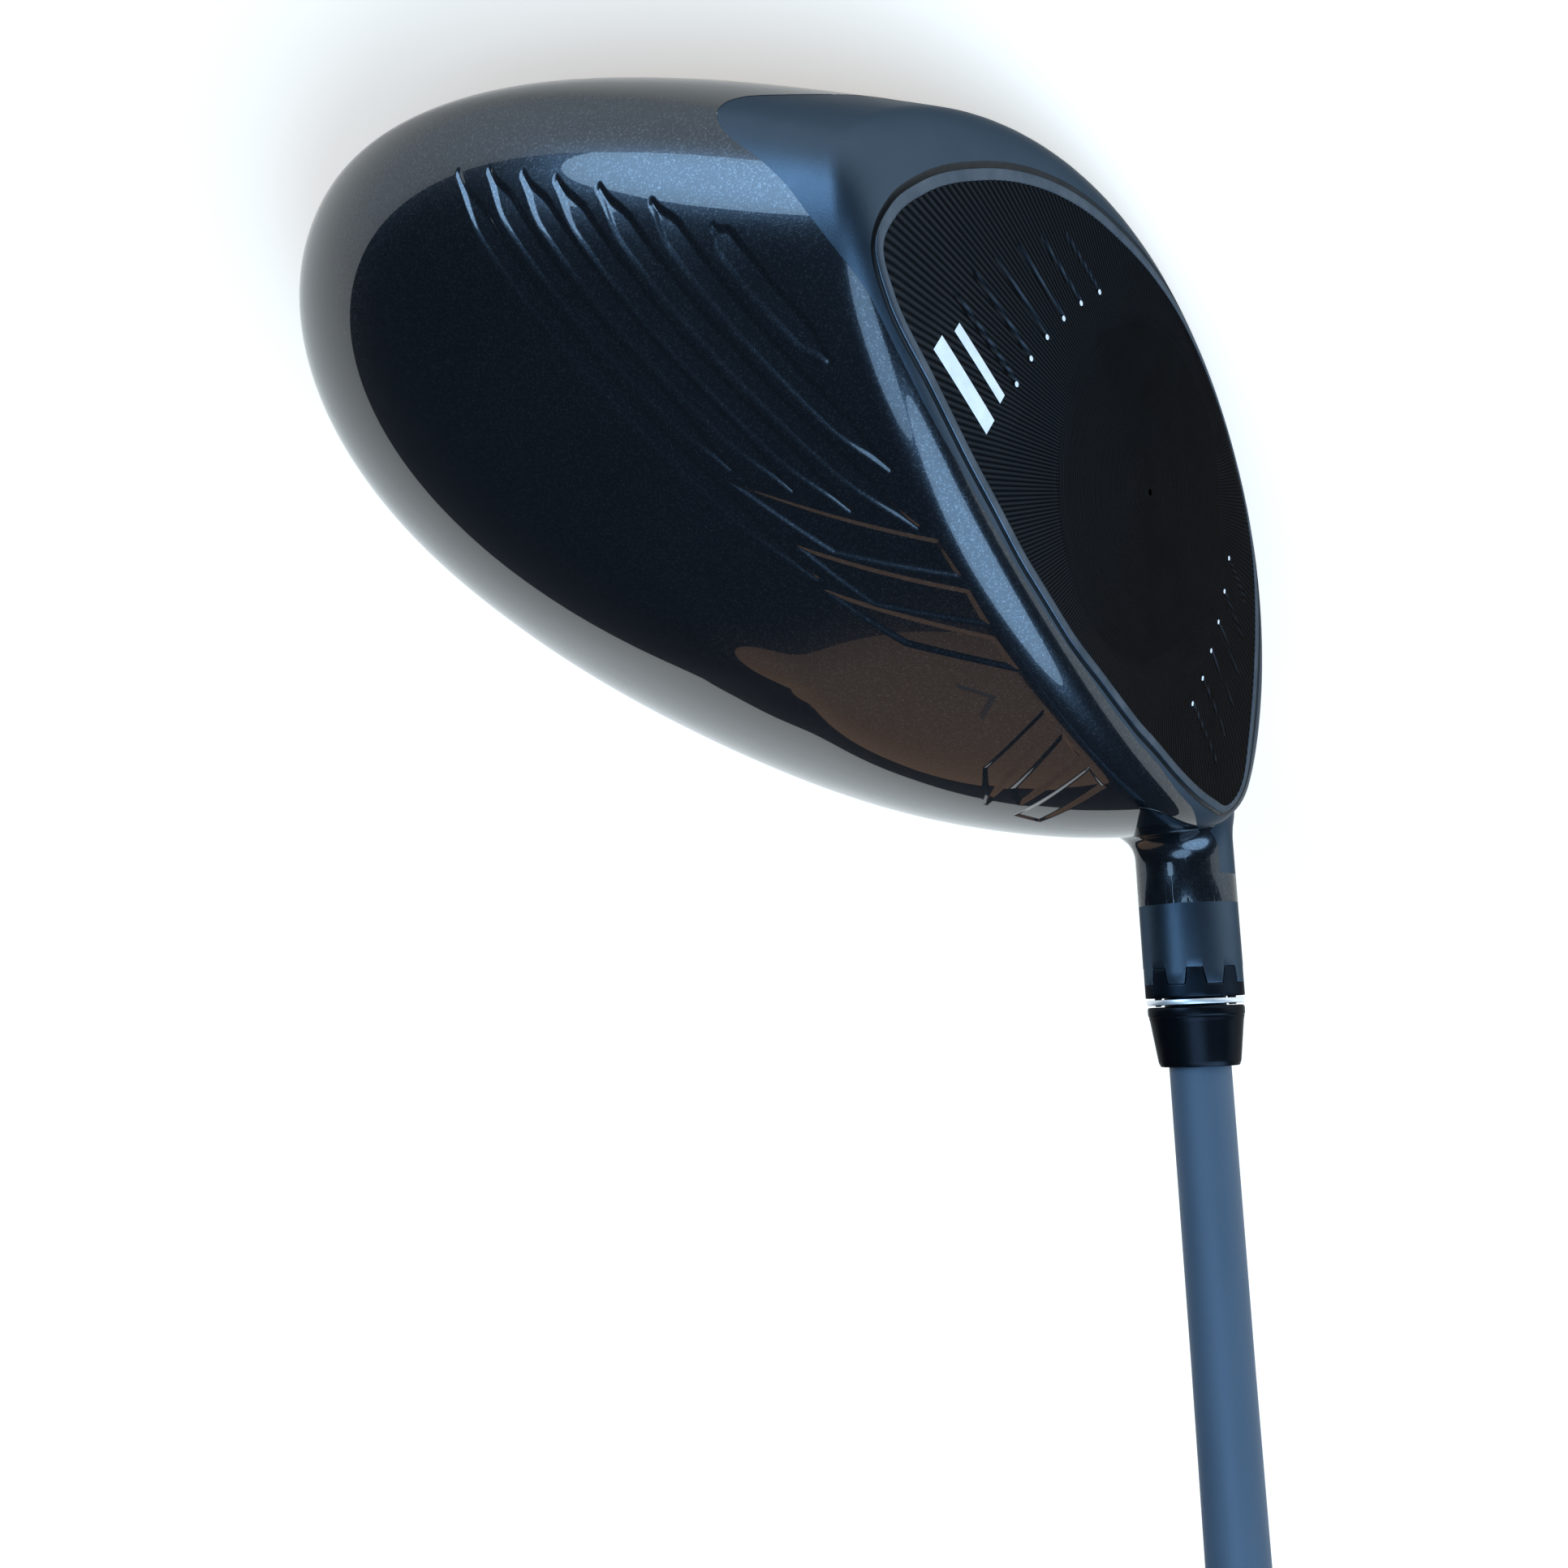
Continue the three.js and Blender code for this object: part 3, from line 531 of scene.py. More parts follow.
shaft_paint = finished(
    material("shaft_lacquer", (0.07, 0.12, 0.19), 0.3, 0.45, edge=0.6),
    (0.066, 0.1, 0.145), (0.078, 0.115, 0.165), 25, (0.46, 0.56), 5000, 0.25)
grip_rubber = finished(
    material("grip_rubber", (0.016, 0.016, 0.017), 0.0, 0.8),
    (0.013, 0.013, 0.014), (0.024, 0.024, 0.025), 60, (0.72, 0.9), 2500, 0.5, 0.0002)
steel = finished(
    material("machined_steel", (0.42, 0.42, 0.43), 1.0, 0.3),
    (0.36, 0.36, 0.37), (0.48, 0.48, 0.49), 250, (0.22, 0.4), 5000, 0.25)
weight_dark = finished(
    material("weight_steel", (0.1, 0.1, 0.105), 1.0, 0.35),
    (0.08, 0.08, 0.085), (0.14, 0.14, 0.145), 250, (0.28, 0.42), 5000, 0.25)
elastomer = finished(
    material("seal_rubber", (0.012, 0.012, 0.012), 0.0, 0.7),
    (0.01, 0.01, 0.01), (0.018, 0.018, 0.018), 120, (0.62, 0.8), 3000, 0.3)
cork = finished(
    material("tip_cork", (0.36, 0.22, 0.12), 0.0, 0.85),
    (0.3, 0.18, 0.09), (0.45, 0.29, 0.16), 700, (0.8, 0.95), 1800, 0.6, 0.0003)
paper = finished(
    material("paper_tape", (0.6, 0.56, 0.46), 0.0, 0.85),
    (0.56, 0.52, 0.42), (0.66, 0.62, 0.52), 200, (0.8, 0.95), 3500, 0.3)
white_bar = finished(
    material("face_bar_white", (0.75, 0.76, 0.78), 0.0, 0.5),
    (0.68, 0.69, 0.71), (0.8, 0.81, 0.83), 600, (0.42, 0.6), 6000, 0.2)
mark_dark = finished(
    material("crown_mark", (0.003, 0.003, 0.004), 0.0, 0.5),
    (0.002, 0.002, 0.003), (0.005, 0.005, 0.006), 300, (0.42, 0.6), 6000, 0.1)

# ---- Where the paint changes ----

# Front edge of the gloss paint: toe-ward position, position from front to back. The middle points
# were measured on the photograph through the solved camera. The outer ones are guessed.
PAINT_X = [-66, -56, -48, -43.2, -30.1, -17.9, -7.9, 13.1, 22.5, 33.0, 40.1, 43.1, 50.1, 54.9, 58.0, 64]
PAINT_Y = [-20.6, -22.6, -25.6, -27.2, -28.1, -28.2, -28.2, -27.6, -27.1, -26.1, -25.1, -23.5,
           -18.6, -10.3, -9.6, -9.0]
PAINT_STEP = 0.4
PAINT_SOFTEN = 13
paint_x = np.arange(-72, 70, PAINT_STEP)
paint_y = np.convolve(np.pad(np.interp(paint_x, PAINT_X, PAINT_Y), PAINT_SOFTEN // 2, "edge"),
                      np.ones(PAINT_SOFTEN) / PAINT_SOFTEN, "valid")
FRONT_STEEPNESS = 0.8
PARTING_HEIGHT = 19.5
PARTING_DROP_TO_TOE = 0.06
PARTING_DROP_TO_BACK = 0.08
HOSEL_PAINT = 11.0
HOSEL_PAINT_FRONT = 6.2
NEAR_HOSEL = 9.0


def crown_level(p):
    """Positive where the gloss lacquer is."""
    x, y, z = p.T
    t, r = on_hosel(p)
    front = (y - np.interp(x, paint_x, paint_y)) * FRONT_STEEPNESS
    parting = z - (PARTING_HEIGHT - PARTING_DROP_TO_TOE * x - PARTING_DROP_TO_BACK * y)
    near_hosel = np.minimum(HOSEL_PAINT - t, (y - HOSEL[1] + HOSEL_PAINT_FRONT))
    level = np.minimum(front, parting)
    return np.where(r < NEAR_HOSEL, np.minimum(level, near_hosel), level)


# ---- Face ----

# Outline of the milled face from its centre: toe-ward distance, height up the face. The points were
# measured on the photograph through the solved camera.
FACE_OUTLINE = [
    (0, 23.0), (12, 23.0), (24, 21.6), (35, 19.4), (43.7, 17), (47.3, 14.5), (47.8, 11), (46.4, 5.8),
    (41.6, -2.2), (36.2, -8.3), (29.2, -13.7), (22.2, -17.2), (13.8, -20.3), (4.9, -22.3), (-3.2, -22.6),
    (-11.2, -21.9), (-19, -19.8), (-26.8, -15.7), (-34.1, -9.8), (-39.4, -4.6), (-44.7, 1.6), (-47.9, 6.3),
    (-47.9, 9), (-46.6, 11.1), (-41.7, 13.6), (-33.5, 16.7), (-24.1, 19.1), (-15.5, 21), (-7.4, 22.1),
]
FACE_TURNS = 2040
FACE_INSET = 0.25
BEVEL = 1.1
FACE_GROOVE = 0.55
# Score lines: how far their inner and outer ends lie from the middle, from the top one down. The ends
# were measured on the photograph in the same way.
SLOT_INNER = [25.9, 25.8, 25.2, 24.3, 23.0, 21.2]
SLOT_OUTER = [37.5, 36.8, 35.6, 33.9, 31.7, 28.9]
SLOT_TOP = 10.6
SLOT_SPACING = 3.94
SLOT_HALF = 0.33
SLOT_DEPTH = 0.28
SLOT_SOFT = 0.16
RIDGE_HEIGHT = 0.035
RIDGE_FADE = 1.5
CIRCLE_DEPTH = 0.05
CIRCLE_WIDTH = 0.35
PLAIN_CENTRE = (31.3, 15.2)
PLAIN_HALF = (7.6, 3.5)


def smooth_outline(points, count):
    """Even angles, and the radius of a smooth closed curve through the points at each of them."""
    p = np.array(points, float)
    angle = np.unwrap(np.arctan2(p[:, 1] - MILL_CENTRE_UP, p[:, 0]))
    order = np.argsort(angle % (2 * math.pi))
    a, r = (angle % (2 * math.pi))[order], np.hypot(p[:, 0], p[:, 1] - MILL_CENTRE_UP)[order]
    a = np.concatenate([a[-3:] - 2 * math.pi, a, a[:3] + 2 * math.pi])
    r = np.concatenate([r[-3:], r, r[:3]])
    even = np.linspace(0, 2 * math.pi, count, endpoint=False)
    m = np.gradient(r, a)
    k = np.clip(np.searchsorted(a, even, side="right") - 1, 0, len(a) - 2)
    h = a[k + 1] - a[k]
    s = (even - a[k]) / h
    out = ((2 * s ** 3 - 3 * s ** 2 + 1) * r[k] + (s ** 3 - 2 * s ** 2 + s) * h * m[k]
           + (-2 * s ** 3 + 3 * s ** 2) * r[k + 1] + (s ** 3 - s ** 2) * h * m[k + 1])
    return even, out


face_angle, face_radius = smooth_outline(FACE_OUTLINE, FACE_TURNS)


def face_outline_grown(grow):
    """The face's outline moved outwards along its own normal: toe-ward places and heights."""
    x, v = face_radius * np.cos(face_angle), face_radius * np.sin(face_angle)
    tx, tv = np.roll(x, -1) - np.roll(x, 1), np.roll(v, -1) - np.roll(v, 1)
    n = np.hypot(tx, tv)
    return x + grow * tv / n, v - grow * tx / n + MILL_CENTRE_UP


def face_place(x, v):
    """Point on the bulging face at a toe-ward distance and a height up the face."""
    d = (x * x + v * v) / (2 * FACE_RADIUS)
    back = v * math.sin(LOFT) + d * math.cos(LOFT)
    up = v * math.cos(LOFT) - d * math.sin(LOFT)
    return FACE_CENTRE + np.stack([x, back, up], -1)


def on_head(p, height=0.0):
    """The point of the head's form on the ray through p, raised by height."""
    shape = p.shape
    q = p.reshape(-1, 3) - CENTRE
    d = q / np.linalg.norm(q, axis=1)[:, None]
    out = CENTRE + d * (reach(d) + np.broadcast_to(height, shape[:-1]).reshape(-1))[:, None]
    return out.reshape(shape)


def slots(x, v):
    """Distance to the nearest score line."""
    best = np.full(x.shape, np.inf)
    for i, (a, b) in enumerate(zip(SLOT_INNER, SLOT_OUTER)):
        for sign in (1, -1):
            over = np.clip(sign * x, a, b) - sign * x
            best = np.minimum(best, np.hypot(over, v - (SLOT_TOP - SLOT_SPACING * i)))
    return best


def build_face():
    """The milled face on a polar grid, with its ridges, the circle's edge and the score lines."""
    turns = face_angle[None, :]
    parts = np.concatenate([np.linspace(0.02, 0.8, 10), np.linspace(0.83, 1.0, 6)[:-1]]) * MILL_RADIUS
    inner = parts[:, None] + 0 * turns
    outer_steps = np.linspace(0, 1, 84)
    outer = MILL_RADIUS + (face_radius[None, :] - MILL_RADIUS) * outer_steps[:, None]
    r = np.concatenate([inner, outer])
    x, v = r * np.cos(turns), r * np.sin(turns) + MILL_CENTRE_UP
    ridges = RIDGE_HEIGHT * np.sin(turns * RIDGES) * np.clip((r - MILL_RADIUS) / RIDGE_FADE, 0, 1)
    circle = CIRCLE_DEPTH * np.exp(-((r - MILL_RADIUS) / CIRCLE_WIDTH) ** 2)
    depth = SLOT_DEPTH * np.clip((SLOT_HALF + SLOT_SOFT / 2 - slots(x, v)) / SLOT_SOFT, 0, 1)
    plain = (np.abs(x - PLAIN_CENTRE[0]) < PLAIN_HALF[0]) & (np.abs(v - PLAIN_CENTRE[1]) < PLAIN_HALF[1])
    ridges = np.where(plain, 0, ridges)
    points = on_head(face_place(x, v), -FACE_INSET + ridges - circle - depth)
    faces = grid_faces(len(r), FACE_TURNS)
    return mesh_object("face_milled", points.reshape(-1, 3), faces, milled)


def band(name, profile, made):
    """A band around the face; profile lists distances outside its outline and heights over the head."""
    rows = []
    for grow, height in profile:
        x, v = face_outline_grown(grow)
        rows.append(on_head(face_place(x, v), height))
    points = np.concatenate(rows)
    return mesh_object(name, points, grid_faces(len(profile), FACE_TURNS), made)


# ---- Crown relief ----

# Ends of the ribs and corners of the feather-shaped hollows, in plan. They were measured on the
# photograph through the solved camera.
RIBS = [
    ((48.2, -11.1), (35.5, -19.4)), ((51.6, -4.8), (24.5, -21.5)), ((54.1, 1.1), (18.0, -21.6)),
    ((55.9, 6.2), (21.5, -15.5)), ((57.2, 10.4), (24.9, -10.1)), ((58.4, 14.9), (28.4, -4.0)),
    ((59.1, 19.4), (14.9, -8.0)),
]
FEATHERS = [
    [(27.1, -3.3), (16.0, -22.9), (11.3, -23.3), (17.5, -11.5)],
    [(19.0, -7.7), (9.3, -23.3), (4.5, -23.3), (10.5, -12.8)],
    [(13.3, -8.3), (2.5, -23.0), (-2.6, -23.3), (4.5, -13.6)],
    [(-10.0, -23.3), (-12.4, -23.4), (-22.0, -13.0), (-29.4, -6.0), (-19.1, -11.4)],
    [(-15.0, -23.2), (-20.0, -23.2), (-30.0, -10.5), (-25.1, -11.9)],
    [(-22.6, -23.0), (-27.5, -22.6), (-37.0, -9.5), (-34.0, -7.7)],
]

RIB_DEPTH = 0.24
RIB_END_HALF = 0.15
RIB_SWELL = 0.95
RIB_TAPERS = (0.1, 0.22)
RIB_LEAN = 1.2
FEATHER_DEPTH = 0.2
RELIEF_BOTTOM = 28
RELIEF_FADE = 4
LACQUER = 0.03


def segment_distance(x, y, a, b):
    ax, ay = a
    bx, by = b
    s = np.clip(((x - ax) * (bx - ax) + (y - ay) * (by - ay)) / ((bx - ax) ** 2 + (by - ay) ** 2), 0, 1)
    return np.hypot(x - ax - s * (bx - ax), y - ay - s * (by - ay)), s


def polygon_distance(x, y, corners):
    """Signed distance to a polygon, negative inside."""
    best = np.full(x.shape, np.inf)
    inside = np.zeros(x.shape, bool)
    for (ax, ay), (bx, by) in zip(corners, corners[1:] + corners[:1]):
        d, _ = segment_distance(x, y, (ax, ay), (bx, by))
        best = np.minimum(best, d)
        with np.errstate(divide="ignore", invalid="ignore"):
            hit = ((ay > y) != (by > y)) & (x < (bx - ax) * (y - ay) / (by - ay) + ax)
        inside ^= hit
    return np.where(inside, -best, best)


def smooth(s):
    s = np.clip(s, 0, 1)
    return s * s * (3 - 2 * s)


def relief(p):
    """Height of the crown over its plain form: leaning ribs and feather-shaped hollows, all cut in."""
    x, y = p[:, 0], p[:, 1]
    height = np.zeros(len(p))
    for a, b in RIBS:
        d, s = segment_distance(x, y, a, b)
        half = RIB_END_HALF + RIB_SWELL * smooth(np.minimum(s / RIB_TAPERS[0], (1 - s) / RIB_TAPERS[1]))
        slope = (b[1] - a[1]) / (b[0] - a[0])
        across = (y - a[1]) - slope * (x - a[0])
        lean = np.clip(across / RIB_LEAN, -1, 1)
        height = height - RIB_DEPTH * smooth((half - d + 0.4) / 0.8) * (0.7 - 0.3 * lean)
    for corners in FEATHERS:
        d = polygon_distance(x, y, corners)
        height = height - FEATHER_DEPTH * smooth((0.35 - d) / 0.85)
    return height * smooth((p[:, 2] - RELIEF_BOTTOM) / RELIEF_FADE)


def displaced(p, normals):
    """Crown points with their relief, and the relief's own normals."""
    step = 0.08
    slope = np.zeros_like(p)
    for k in (0, 1):
        e = np.zeros(3)
        e[k] = step
        slope[:, k] = (relief(p + e) - relief(p - e)) / (2 * step)
    slope -= (slope * normals).sum(1)[:, None] * normals
    return p + (relief(p) + LACQUER)[:, None] * normals, unit(normals - slope)


# ---- Head pieces ----

GRID_LOW = (-80, -62, -2)
GRID_HIGH = (63, 83, 63)
CELL = 1.0
TURNED_TOP = HOSEL_PAINT + 8.0  # above this the hosel is turned pieces
net, triangles = surface_net(head_field, GRID_LOW, GRID_HIGH, CELL)
net = project(net, head_field, 5)
net, triangles = clip(net, triangles, lambda p: TURNED_TOP - on_hosel(p)[0])
net[:, 2] = np.maximum(net[:, 2], 0)  # flat patch that the club stands on

# Screws in the sole as (x, y, radius), and panels as (x, y, half width, half length, turn in degrees).
WEIGHTS = {"front": (-3, -16, 6.2), "rear": (3, 56, 7.2)}
PANELS = {"sole_panel_toe": (31, 14, 15, 30, -8), "sole_panel_heel": (-27, 22, 12, 24, 10)}
PANEL_CORNER = 9
PORT = 5.2
PORT_TOP = -8
GAP = 0.3
SOLE_ZONE = 22
OUTSIDE = 5.0


def face_level(p):
    """Positive outside the face's bevel and groove."""
    q = p - CENTRE
    d = q / np.linalg.norm(q, axis=1)[:, None]
    rel = CENTRE + d * to_face(d)[:, None] - FACE_CENTRE
    x = rel[:, 0]
    v = rel[:, 1] * math.sin(LOFT) + rel[:, 2] * math.cos(LOFT)
    gx, gv = face_outline_grown(BEVEL + FACE_GROOVE)
    ga = np.unwrap(np.arctan2(gv - MILL_CENTRE_UP, gx))
    gr = np.hypot(gx, gv - MILL_CENTRE_UP)
    a = np.arctan2(v - MILL_CENTRE_UP, x)
    by_angle = np.array(sorted(zip((ga + math.pi) % (2 * math.pi) - math.pi, gr))).T
    outline = np.interp(a, *by_angle, period=2 * math.pi)
    level = np.hypot(x, v - MILL_CENTRE_UP) - outline
    return np.where(d[:, 1] < 0, np.minimum(level, OUTSIDE), OUTSIDE)


def sole_point(x, y):
    """The sole's surface under a plan position."""
    p = np.array([[x, y, 0.0]])
    for _ in range(12):
        q = p - CENTRE
        d = q / np.linalg.norm(q)
        s = CENTRE + d * reach(d)[:, None]
        miss = np.array([x, y]) - s[0, :2]
        if np.abs(miss).max() < 1e-4:
            break
        p = s + np.array([[miss[0], miss[1], 0]])
    return np.array([x, y, s[0, 2]])


def sole_weight(x, y):
    """Place and outward direction of a screw in the sole."""
    across = sole_point(x + 1, y) - sole_point(x - 1, y)
    along = sole_point(x, y + 1) - sole_point(x, y - 1)
    return sole_point(x, y), unit(np.cross(along, across))


def panel_distance(p, place):
    """Signed distance in plan to a round-cornered sole panel, positive outside."""
    x, y, half_x, half_y, turn = place
    a = math.radians(turn)
    dx, dy = p[:, 0] - x, p[:, 1] - y
    u = np.abs(dx * math.cos(a) + dy * math.sin(a)) - half_x + PANEL_CORNER
    v = np.abs(-dx * math.sin(a) + dy * math.cos(a)) - half_y + PANEL_CORNER
    return np.hypot(np.maximum(u, 0), np.maximum(v, 0)) + np.minimum(np.maximum(u, v), 0) - PANEL_CORNER


def normals_of(p):
    """The head's outward directions, straight down on the flat patch."""
    normals = unit(gradient(p, head_field))
    normals[p[:, 2] <= 0] = (0, 0, -1)
    return normals


def in_sole(p, level, elsewhere):
    """A level that counts only low on the head."""
    return np.where(p[:, 2] < SOLE_ZONE, level, elsewhere)


def outside_port(p):
    """Positive away from the bolt's port."""
    t, r = on_hosel(p)
    return np.where(t < PORT_TOP, r - PORT, OUTSIDE)


def refined(points, tris):
    """The crown's mesh, with smaller triangles around its ribs and hollows."""
    for reach_out in (2.0, 1.7, 1.45):
        middles = points[tris].mean(1)
        near = (middles[:, 1] < 24) & (middles[:, 2] > 20) & (middles[:, 0] > -40)
        closest = np.full(len(middles), np.inf)
        for a, b in RIBS:
            closest = np.minimum(closest, segment_distance(middles[:, 0], middles[:, 1], a, b)[0])
        for corners in FEATHERS:
            edge = np.abs(polygon_distance(middles[:, 0], middles[:, 1], corners)) - 0.4
            closest = np.minimum(closest, edge)
        points, tris = split(points, tris, near & (closest < reach_out))
    return project(points, head_field, 2), tris


crown_points, crown_tris = clip(net, triangles, crown_level)
body_points, body_tris = clip(net, triangles, lambda p: -crown_level(p))
body_points, body_tris = clip(body_points, body_tris, face_level)
body_points, body_tris = clip(body_points, body_tris, outside_port)
weight_frames = {}
for end, (x, y, r) in WEIGHTS.items():
    at, out = sole_weight(x, y)
    weight_frames[end] = (at, out)
    body_points, body_tris = clip(body_points, body_tris, lambda p: in_sole(
        p, np.linalg.norm(np.cross(p - at, out), axis=1) - r - GAP, OUTSIDE))
for place in PANELS.values():
    body_points, body_tris = clip(body_points, body_tris, lambda p: in_sole(
        p, panel_distance(p, place) - GAP, OUTSIDE))

crown_points, crown_tris = refined(crown_points, crown_tris)
crown_places, crown_shading = displaced(crown_points, normals_of(crown_points))
crown = mesh_object("crown_gloss", crown_places, crown_tris, gloss, crown_shading)
body = mesh_object("head_body", body_points, body_tris, satin, normals_of(body_points))
placed(crown, "head", "gloss_crown", "crown_shell")
placed(body, "head", "satin_body", "body_shell")

placed(build_face(), "head", "milled_face", "face_insert")
bevel = band("face_bevel", [(0, -0.6), (0, -0.22), (0.12, -0.12), (BEVEL - 0.2, -0.02), (BEVEL, -0.1),
                            (BEVEL + 0.02, -0.7)], bright_edge)
groove = band("face_groove", [(BEVEL, -0.5), (BEVEL + FACE_GROOVE * 0.5, -0.62),
                              (BEVEL + FACE_GROOVE + 0.05, -0.45), (BEVEL + FACE_GROOVE + 0.06, -0.02)],
              groove_black)
for piece in (bevel, groove):
    placed(piece, "head", "satin_body")

# ---- Bars on the face, an alignment mark on the crown ----

BAR_HEIGHT = -0.22
BAR_THICKNESS = 0.05
DOT_SIZE = 0.3
MARK_HEIGHT = 0.035
MARK_THICKNESS = 0.02
# Each bar: its two ends on the face, and how wide it is.
BARS = [((26.2, 17.2), (36.8, 16.4), 2.0), ((26.6, 13.6), (35.8, 13.1), 1.2)]
MARK = [[(-9.6, -16.0), (-6.1, -19.4), (-6.1, -18.5), (-8.6, -16.0)],
        [(-2.6, -16.0), (-3.6, -16.0), (-6.1, -18.5), (-6.1, -19.4)]]


def patch(name, corners, height, thickness, made, place):
    """A thin four-cornered plate laid on the head, with softened edges."""
    steps = 14
    s = np.linspace(0, 1, steps)
    a, b, c, d = (np.array(q, float) for q in corners)
    u, v = np.meshgrid(s, s, indexing="ij")
    flat = (((1 - u) * (1 - v))[..., None] * a + (u * (1 - v))[..., None] * b
            + (u * v)[..., None] * c + ((1 - u) * v)[..., None] * d)
    edge = np.minimum(np.minimum(u, 1 - u), np.minimum(v, 1 - v))
    points = place(flat[..., 0], flat[..., 1], height + thickness * np.clip(edge / 0.08, 0, 1) ** 0.5)
    return mesh_object(name, points.reshape(-1, 3), grid_faces(steps, steps, closed=False), made)


def on_face(x, v, height):
    """Points of the head over a toe-ward distance and a height up the face."""
    return on_head(face_place(x, v), height)


def joined(name, pieces):
    """The pieces made into one."""
    bpy.ops.object.select_all(action="DESELECT")
    for piece in pieces:
        piece.select_set(True)
    bpy.context.view_layer.objects.active = pieces[0]
    bpy.ops.object.join()
    pieces[0].name = name
    pieces[0].data.name = name
    return pieces[0]


def paint_dot(x, v):
    """A small domed fleck of white paint left at the end of a score line."""
    rings, sides = 5, 20
    part = np.linspace(0.08, 1, rings)[:, None]
    turn = np.linspace(0, 2 * math.pi, sides, endpoint=False)[None, :]
    height = -0.2 - 0.06 * part ** 2 + 0 * turn
    points = on_face(x + DOT_SIZE * part * np.cos(turn), v + DOT_SIZE * part * np.sin(turn), height)
    return mesh_object("tmp_dot", points.reshape(-1, 3), grid_faces(rings, sides), white_bar)


def on_crown(x, y, height):
    """Points of the crown over a plan position."""
    plan = np.stack([x, y], -1).reshape(-1, 2)
    low, high = np.full(len(plan), 30.0), np.full(len(plan), 75.0)
    for _ in range(30):
        mid = (low + high) / 2
        inside = head_field(np.column_stack([plan, mid])) < 0
        low, high = np.where(inside, mid, low), np.where(inside, high, mid)
    p = np.column_stack([plan, low])
    p = p + normals_of(p) * np.reshape(height, (-1, 1))
    return p.reshape(x.shape + (3,))

bars = []
for (x0, v0), (x1, v1), thick in BARS:
    half = thick / 2
    corners = [(x0, v0 - half), (x1, v1 - half), (x1, v1 + half), (x0, v0 + half)]
    bars.append(patch("tmp_bar", corners, BAR_HEIGHT, BAR_THICKNESS, white_bar, on_face))
for i, inner in enumerate(SLOT_INNER):
    for sign in (1, -1):
        bars.append(paint_dot(sign * inner, SLOT_TOP - SLOT_SPACING * i))
placed(joined("face_bars", bars), "head", "milled_face")

halves = [patch("tmp_mark", corners, MARK_HEIGHT, MARK_THICKNESS, mark_dark, on_crown) for corners in MARK]
placed(joined("crown_mark", halves), "head", "gloss_crown")

# ---- Hosel, adapter, shaft and grip ----

TEETH = 8
TOOTH_TIP = 1.0
TOOTH_ROOT = 1.45
TOOTH_FOOT = 20.0
TOOTH_TOP = 22.3
TURNS = 512
COLLAR_R = 6.9
COLLAR_BORE = 5.7
COLLAR_TOP = 24.1
TOOTH_PLAY = 0.12
EDGE_SOFT = 0.14
EDGE_STEP = 0.04


def tooth_edge(turn, grow):
    """Station of the toothed line at each angle; grow widens the gap between the teeth."""
    pitch = 2 * math.pi / TEETH
    local = turn % pitch - pitch / 2
    arc = np.abs(local) * HOSEL_R
    inner, outer = TOOTH_TIP + grow, TOOTH_ROOT + grow
    s = np.clip((arc - inner) / (outer - inner), 0, 1)
    return TOOTH_FOOT + (TOOTH_TOP - TOOTH_FOOT) * s


def toothed(name, radius, foot, top, made, teeth_up, grow):
    """A collar whose upper or lower end follows the teeth."""
    turn = np.linspace(0, 2 * math.pi, TURNS, endpoint=False)
    line = tooth_edge(turn, grow)
    flat = 0 * turn
    side, bore = radius + flat, COLLAR_BORE + flat
    stepped, softened = side - EDGE_STEP, side - EDGE_SOFT
    parts = np.linspace(0, 1, 8)
    if teeth_up:
        rows = [(side, foot + (line - EDGE_SOFT - foot) * f) for f in parts]
        rows += [(stepped, line - EDGE_STEP), (softened, line), (bore, line), (bore, line - 3)]
    else:
        rows = [(bore, line + 3), (bore, line), (softened, line), (stepped, line + EDGE_STEP)]
        rows += [(side, line + EDGE_SOFT + (top - 0.12 - line - EDGE_SOFT) * f) for f in parts]
        rows += [(stepped, top + flat - 0.03), (softened, top + flat), (bore, top + flat)]
    points = np.concatenate([hosel_point(r, t, turn) for r, t in rows])
    thing = mesh_object(name, points, grid_faces(len(rows), TURNS)[:, ::-1], made)
    thing.data.set_sharp_from_angle(angle=math.radians(32))
    return thing


hosel_top = toothed("hosel_top", HOSEL_R, HOSEL_PAINT, 0, satin, True, TOOTH_PLAY)
placed(hosel_top, "head", "satin_body")
hosel_paint = lathe("hosel_paint", [(HOSEL_R + 0.03, HOSEL_PAINT - 4), (HOSEL_R + 0.03, HOSEL_PAINT + 0.02),
                                    (HOSEL_R - 0.3, HOSEL_PAINT + 0.03)], gloss, bevel=0.02)
placed(hosel_paint, "head", "gloss_crown")

collar = toothed("sleeve_collar", COLLAR_R, 0, COLLAR_TOP, sleeve_black, False, 0.0)
barrel = lathe("tmp_barrel", [(2.8, -10.5), (5.3, -10.5), (5.3, 23.0), (4.6, 23.0), (4.6, -3.7), (2.8, -3.7),
                              (2.8, -10.4)], sleeve_black)
placed(joined("adapter_sleeve_detail", [collar, barrel]), "shaft_line", "black_sleeve", "adapter_sleeve")

SHAFT_TIP_R = 4.3
SHAFT_BUTT_R = 7.6
TAPER_FROM = 75
TAPER_LENGTH = 725


def shaft_radius(t):
    """Radius of the shaft at a station on its taper."""
    return SHAFT_TIP_R + 3.3 * (t - TAPER_FROM) / TAPER_LENGTH


